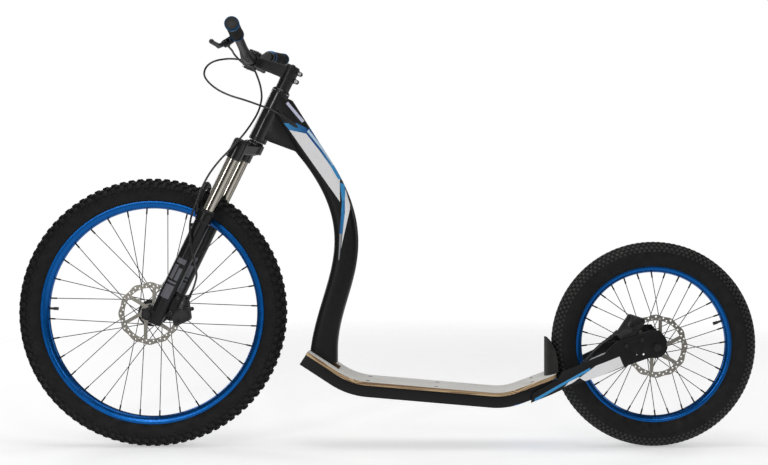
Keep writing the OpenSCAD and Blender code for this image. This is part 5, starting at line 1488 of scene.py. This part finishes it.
@dataclass
class BrakeHoses:
    """The two brake hoses, held at both ends, with their metal end sleeves."""

    radius: float = 2.5
    sleeve_r: float = 3.3
    sleeve_l: float = 13.0

    def build(self, sheath: GrowTree) -> None:
        """Builds both hoses.

        Args:
            sheath: The tree that puts a sheath on a line.
        """
        front = self._hose("front_hose_run", FRONT_ROUTE, sheath)
        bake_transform(front, "fork_slider", "steering_part", start=tuple(Vector((-486.0, -90.0, 540.0)) * MM),
                 end=tuple(Vector((-386.0, -90.0, 745.0)) * MM))
        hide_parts("front_brake_hose")
        rear = self._hose("rear_hose_run", REAR_ROUTE, sheath)
        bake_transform(rear, "frame", "steering_part", start=tuple(Vector((-262.0, -29.0, 842.0)) * MM),
                 end=tuple(Vector((-395.7, -29.0, 896.0)) * MM))
        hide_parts("rear_brake_hose")

    def _hose(self, name: str, points: Sequence[tuple[float, float, float]], sheath: GrowTree
              ) -> bpy.types.Object:
        """Builds one hose with a sleeve at each end.

        Args:
            name: Name of the piece.
            points: Its route.
            sheath: The tree that puts a sheath on a line.

        Returns:
            The hose.
        """
        route = smooth_route([Vector(p) for p in points], 6)
        parts = [sheath.grow(name, "hose_black", {"Radius": self.radius * MM, "Sides": 18}, 60.0, route)]
        for start, after in ((route[0], route[4]), (route[-1], route[-5])):
            along = (after - start).normalized()
            line = [start + along * (self.sleeve_l * k / 6) for k in range(7)]
            radii = [self.sleeve_r * share for share in (0.86, 1.0, 1.0, 0.9, 1.0, 1.0, 0.8)]
            parts.append(swept(f"{name}_sleeve", line, radii, "black_steel", 20))
        return joined(name, parts)


@dataclass
class KeptParts:
    """CAD nodes whose shape is already right, and the finish each one takes."""

    finishes: dict[str, str] = field(default_factory=lambda: {
        "head_tube": "head_gloss", "deck_bolts": "plated_steel", "headset_cups": "part_black",
        "headset_bearings": "bearing_steel", "rear_axle": "black_steel", "hose_grommets": "soft_rubber",
        "steerer_tube": "bare_aluminium", "stanchions": "stanchion_nickel", "fork_top_caps": "part_black",
        "stem_spacers": "part_black", "top_cap": "part_black", "stem_bolts": "plated_steel",
        "lock_rings": "anodised_blue", "bar_end_plugs": "plug_plastic", "fork_spring": "spring_steel",
        "damper_cartridge": "bare_aluminium", "fork_seals": "soft_rubber", "fork_rods": "bare_aluminium",
        "front_axle": "black_steel", "front_inner_tube": "tube_rubber",
        "front_spokes": "spoke_black", "front_hub": "part_black", "front_bearings": "bearing_steel",
        "front_rotor": "front_rotor_steel", "front_rotor_bolts": "black_steel",
        "rear_inner_tube": "tube_rubber", "rear_spokes": "spoke_black",
        "rear_hub": "part_black", "rear_bearings": "bearing_steel", "rear_rotor": "rear_rotor_steel",
        "rear_rotor_bolts": "black_steel", "front_moving_pad": "brake_lining",
        "rear_moving_pad": "brake_lining"})

    def dress(self) -> None:
        """Sets the material slots of the kept nodes."""
        for name, finish in self.finishes.items():
            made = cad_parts[name]
            material = SHOP.get(finish)
            if made.data.materials:
                for slot in range(len(made.data.materials)):
                    made.data.materials[slot] = material
            else:
                made.data.materials.append(material)


@dataclass
class Studio:
    """Floor, lights and camera."""

    eye: Vector = field(default_factory=lambda: Vector((0.2434, -3.119, 0.6384)))
    lens: float = 56.9
    shift: Flat = (-0.128, -0.046)

    def build(self) -> None:
        """Sets the stage."""
        scene = bpy.context.scene
        data = bpy.data.cameras.new("camera")
        data.lens = self.lens
        data.sensor_width = 36.0
        data.shift_x, data.shift_y = self.shift
        camera = bpy.data.objects.new("camera", data)
        camera.location = self.eye
        camera.rotation_euler = (math.pi / 2, 0.0, 0.0)
        scene.collection.objects.link(camera)
        scene.camera = camera
        scene.view_settings.view_transform = "Standard"
        self._floor()
        self._sky()
        self._lamp("key_strip", (-1.5, -3.0, 1.5), (-0.25, 0.0, 0.5), (0.45, 2.2), 24.0)
        self._lamp("front_strip", (0.9, -3.2, 1.7), (0.2, 0.0, 0.4), (0.35, 1.8), 11.0)
        self._lamp("top_softbox", (-0.1, -0.2, 2.7), (0.0, 0.0, 0.3), (2.6, 1.2), 24.0)
        self._lamp("back_strip", (-2.4, 1.9, 1.4), (-0.3, 0.0, 0.5), (0.5, 2.0), 16.0)
        self._lamp("tail_strip", (2.5, 1.2, 1.2), (0.5, 0.0, 0.3), (0.5, 1.8), 12.0)

    def _lamp(self, name: str, place: tuple[float, float, float], aim: tuple[float, float, float], size: Flat,
              power: float) -> None:
        """Adds an area light.

        Args:
            name: Its name.
            place: Where it stands.
            aim: Where it points.
            size: Its width and height.
            power: Its power in watts.
        """
        data = bpy.data.lights.new(name, "AREA")
        data.shape = "RECTANGLE"
        data.size, data.size_y = size
        data.energy = power
        lamp = bpy.data.objects.new(name, data)
        lamp.location = place
        lamp.rotation_euler = (Vector(aim) - Vector(place)).to_track_quat("-Z", "Y").to_euler()
        bpy.context.scene.collection.objects.link(lamp)

    def _floor(self) -> None:
        """Lays a pale floor that fades out towards its edges."""
        mesh = bpy.data.meshes.new("studio_floor")
        mesh.from_pydata([(-9, -9, 0), (9, -9, 0), (9, 9, 0), (-9, 9, 0)], [], [(0, 1, 2, 3)])
        floor = bpy.data.objects.new("studio_floor", mesh)
        bpy.context.scene.collection.objects.link(floor)
        material = bpy.data.materials.new("studio_floor")
        material.use_nodes = True
        tree = material.node_tree
        tree.nodes.clear()
        w = Wiring(tree)
        place = w.put("ShaderNodeTexCoord").outputs["Object"]
        far = w.put("ShaderNodeVectorMath", {0: place}, operation="LENGTH").outputs["Value"]
        fade = w.ramp(far, 1.2, 3.2, 1.0, 0.0)
        tint = w.blend(w.noise(place, 6.0), (0.93, 0.93, 0.93, 1.0), (0.95, 0.95, 0.95, 1.0))
        shader = w.put("ShaderNodeBsdfPrincipled", {"Base Color": tint, "Roughness": 0.7, "Alpha": fade,
                                                    "Specular IOR Level": 0.1,
                                                    "Emission Color": (1.0, 1.0, 1.0, 1.0),
                                                    "Emission Strength": 0.42})
        tree.links.new(shader.outputs[0], w.put("ShaderNodeOutputMaterial").inputs[0])
        mesh.materials.append(material)

    def _sky(self) -> None:
        """Makes a white backdrop that lights the scooter softly."""
        world = bpy.data.worlds.new("studio")
        bpy.context.scene.world = world
        world.use_nodes = True
        tree = world.node_tree
        tree.nodes.clear()
        w = Wiring(tree)
        ray = w.put("ShaderNodeLightPath").outputs["Is Camera Ray"]
        power = w.ramp(ray, 0.0, 1.0, 0.16, 1.0)
        back = w.put("ShaderNodeBackground", {"Color": (1.0, 1.0, 1.0, 1.0), "Strength": power})
        tree.links.new(back.outputs[0], w.put("ShaderNodeOutputWorld").inputs[0])


FRONT_TYRE = Tyre("front_tyre_casing", "front_wheel", FRONT_AXLE, 337.2, 286.0, 26.0, (
    BlockRow(12.0, 94, 12.5, 8.0, 7.4, 0.0, 0.72),
    BlockRow(36.0, 94, 11.5, 9.0, 6.6, 0.5, 0.72),
    BlockRow(62.0, 94, 12.0, 12.0, 5.0, 0.0, 0.7),
    BlockRow(84.0, 94, 8.0, 8.0, 2.6, 0.5),
))
# The rear blocks take a paler rubber than the casing: painted light on their lit faces.
REAR_TYRE = Tyre("rear_tyre_casing", "rear_wheel", REAR_AXLE, 258.6, 199.5, 29.6, (
    BlockRow(0.0, 120, 7.2, 6.0, 4.6),
    BlockRow(18.0, 120, 8.0, 7.0, 4.6, 0.5, 0.7),
    BlockRow(36.0, 120, 7.5, 7.5, 4.2, 0.0, 0.7),
    BlockRow(54.0, 120, 7.5, 7.5, 3.6, 0.5, 0.7),
    BlockRow(70.0, 120, 6.5, 6.0, 2.6, 0.0, 0.7),
), tread="tread_grey")


def main() -> None:
    """Builds every piece in order."""
    logging.basicConfig(level=logging.INFO, format="%(message)s")
    Studio().build()
    KeptParts().dress()
    blocks = block_ring_tree()
    for tyre in (FRONT_TYRE, REAR_TYRE):
        made = tyre.build(blocks)
        log.info("%s: %d faces", made.name, len(made.data.polygons))
    for rim in (Rim("front_curved_rim", "front_rim", "front_wheel", FRONT_AXLE, 286.0, 20.0),
                Rim("rear_curved_rim", "rear_rim", "rear_wheel", REAR_AXLE, 199.5, 16.0)):
        rim.build()
    MainTube().build()
    Deck().build()
    Cockpit().build(rib_tree())
    Castings().build()
    BrakeHoses().build(sheath_tree())


if __name__ == "__main__":
    main()
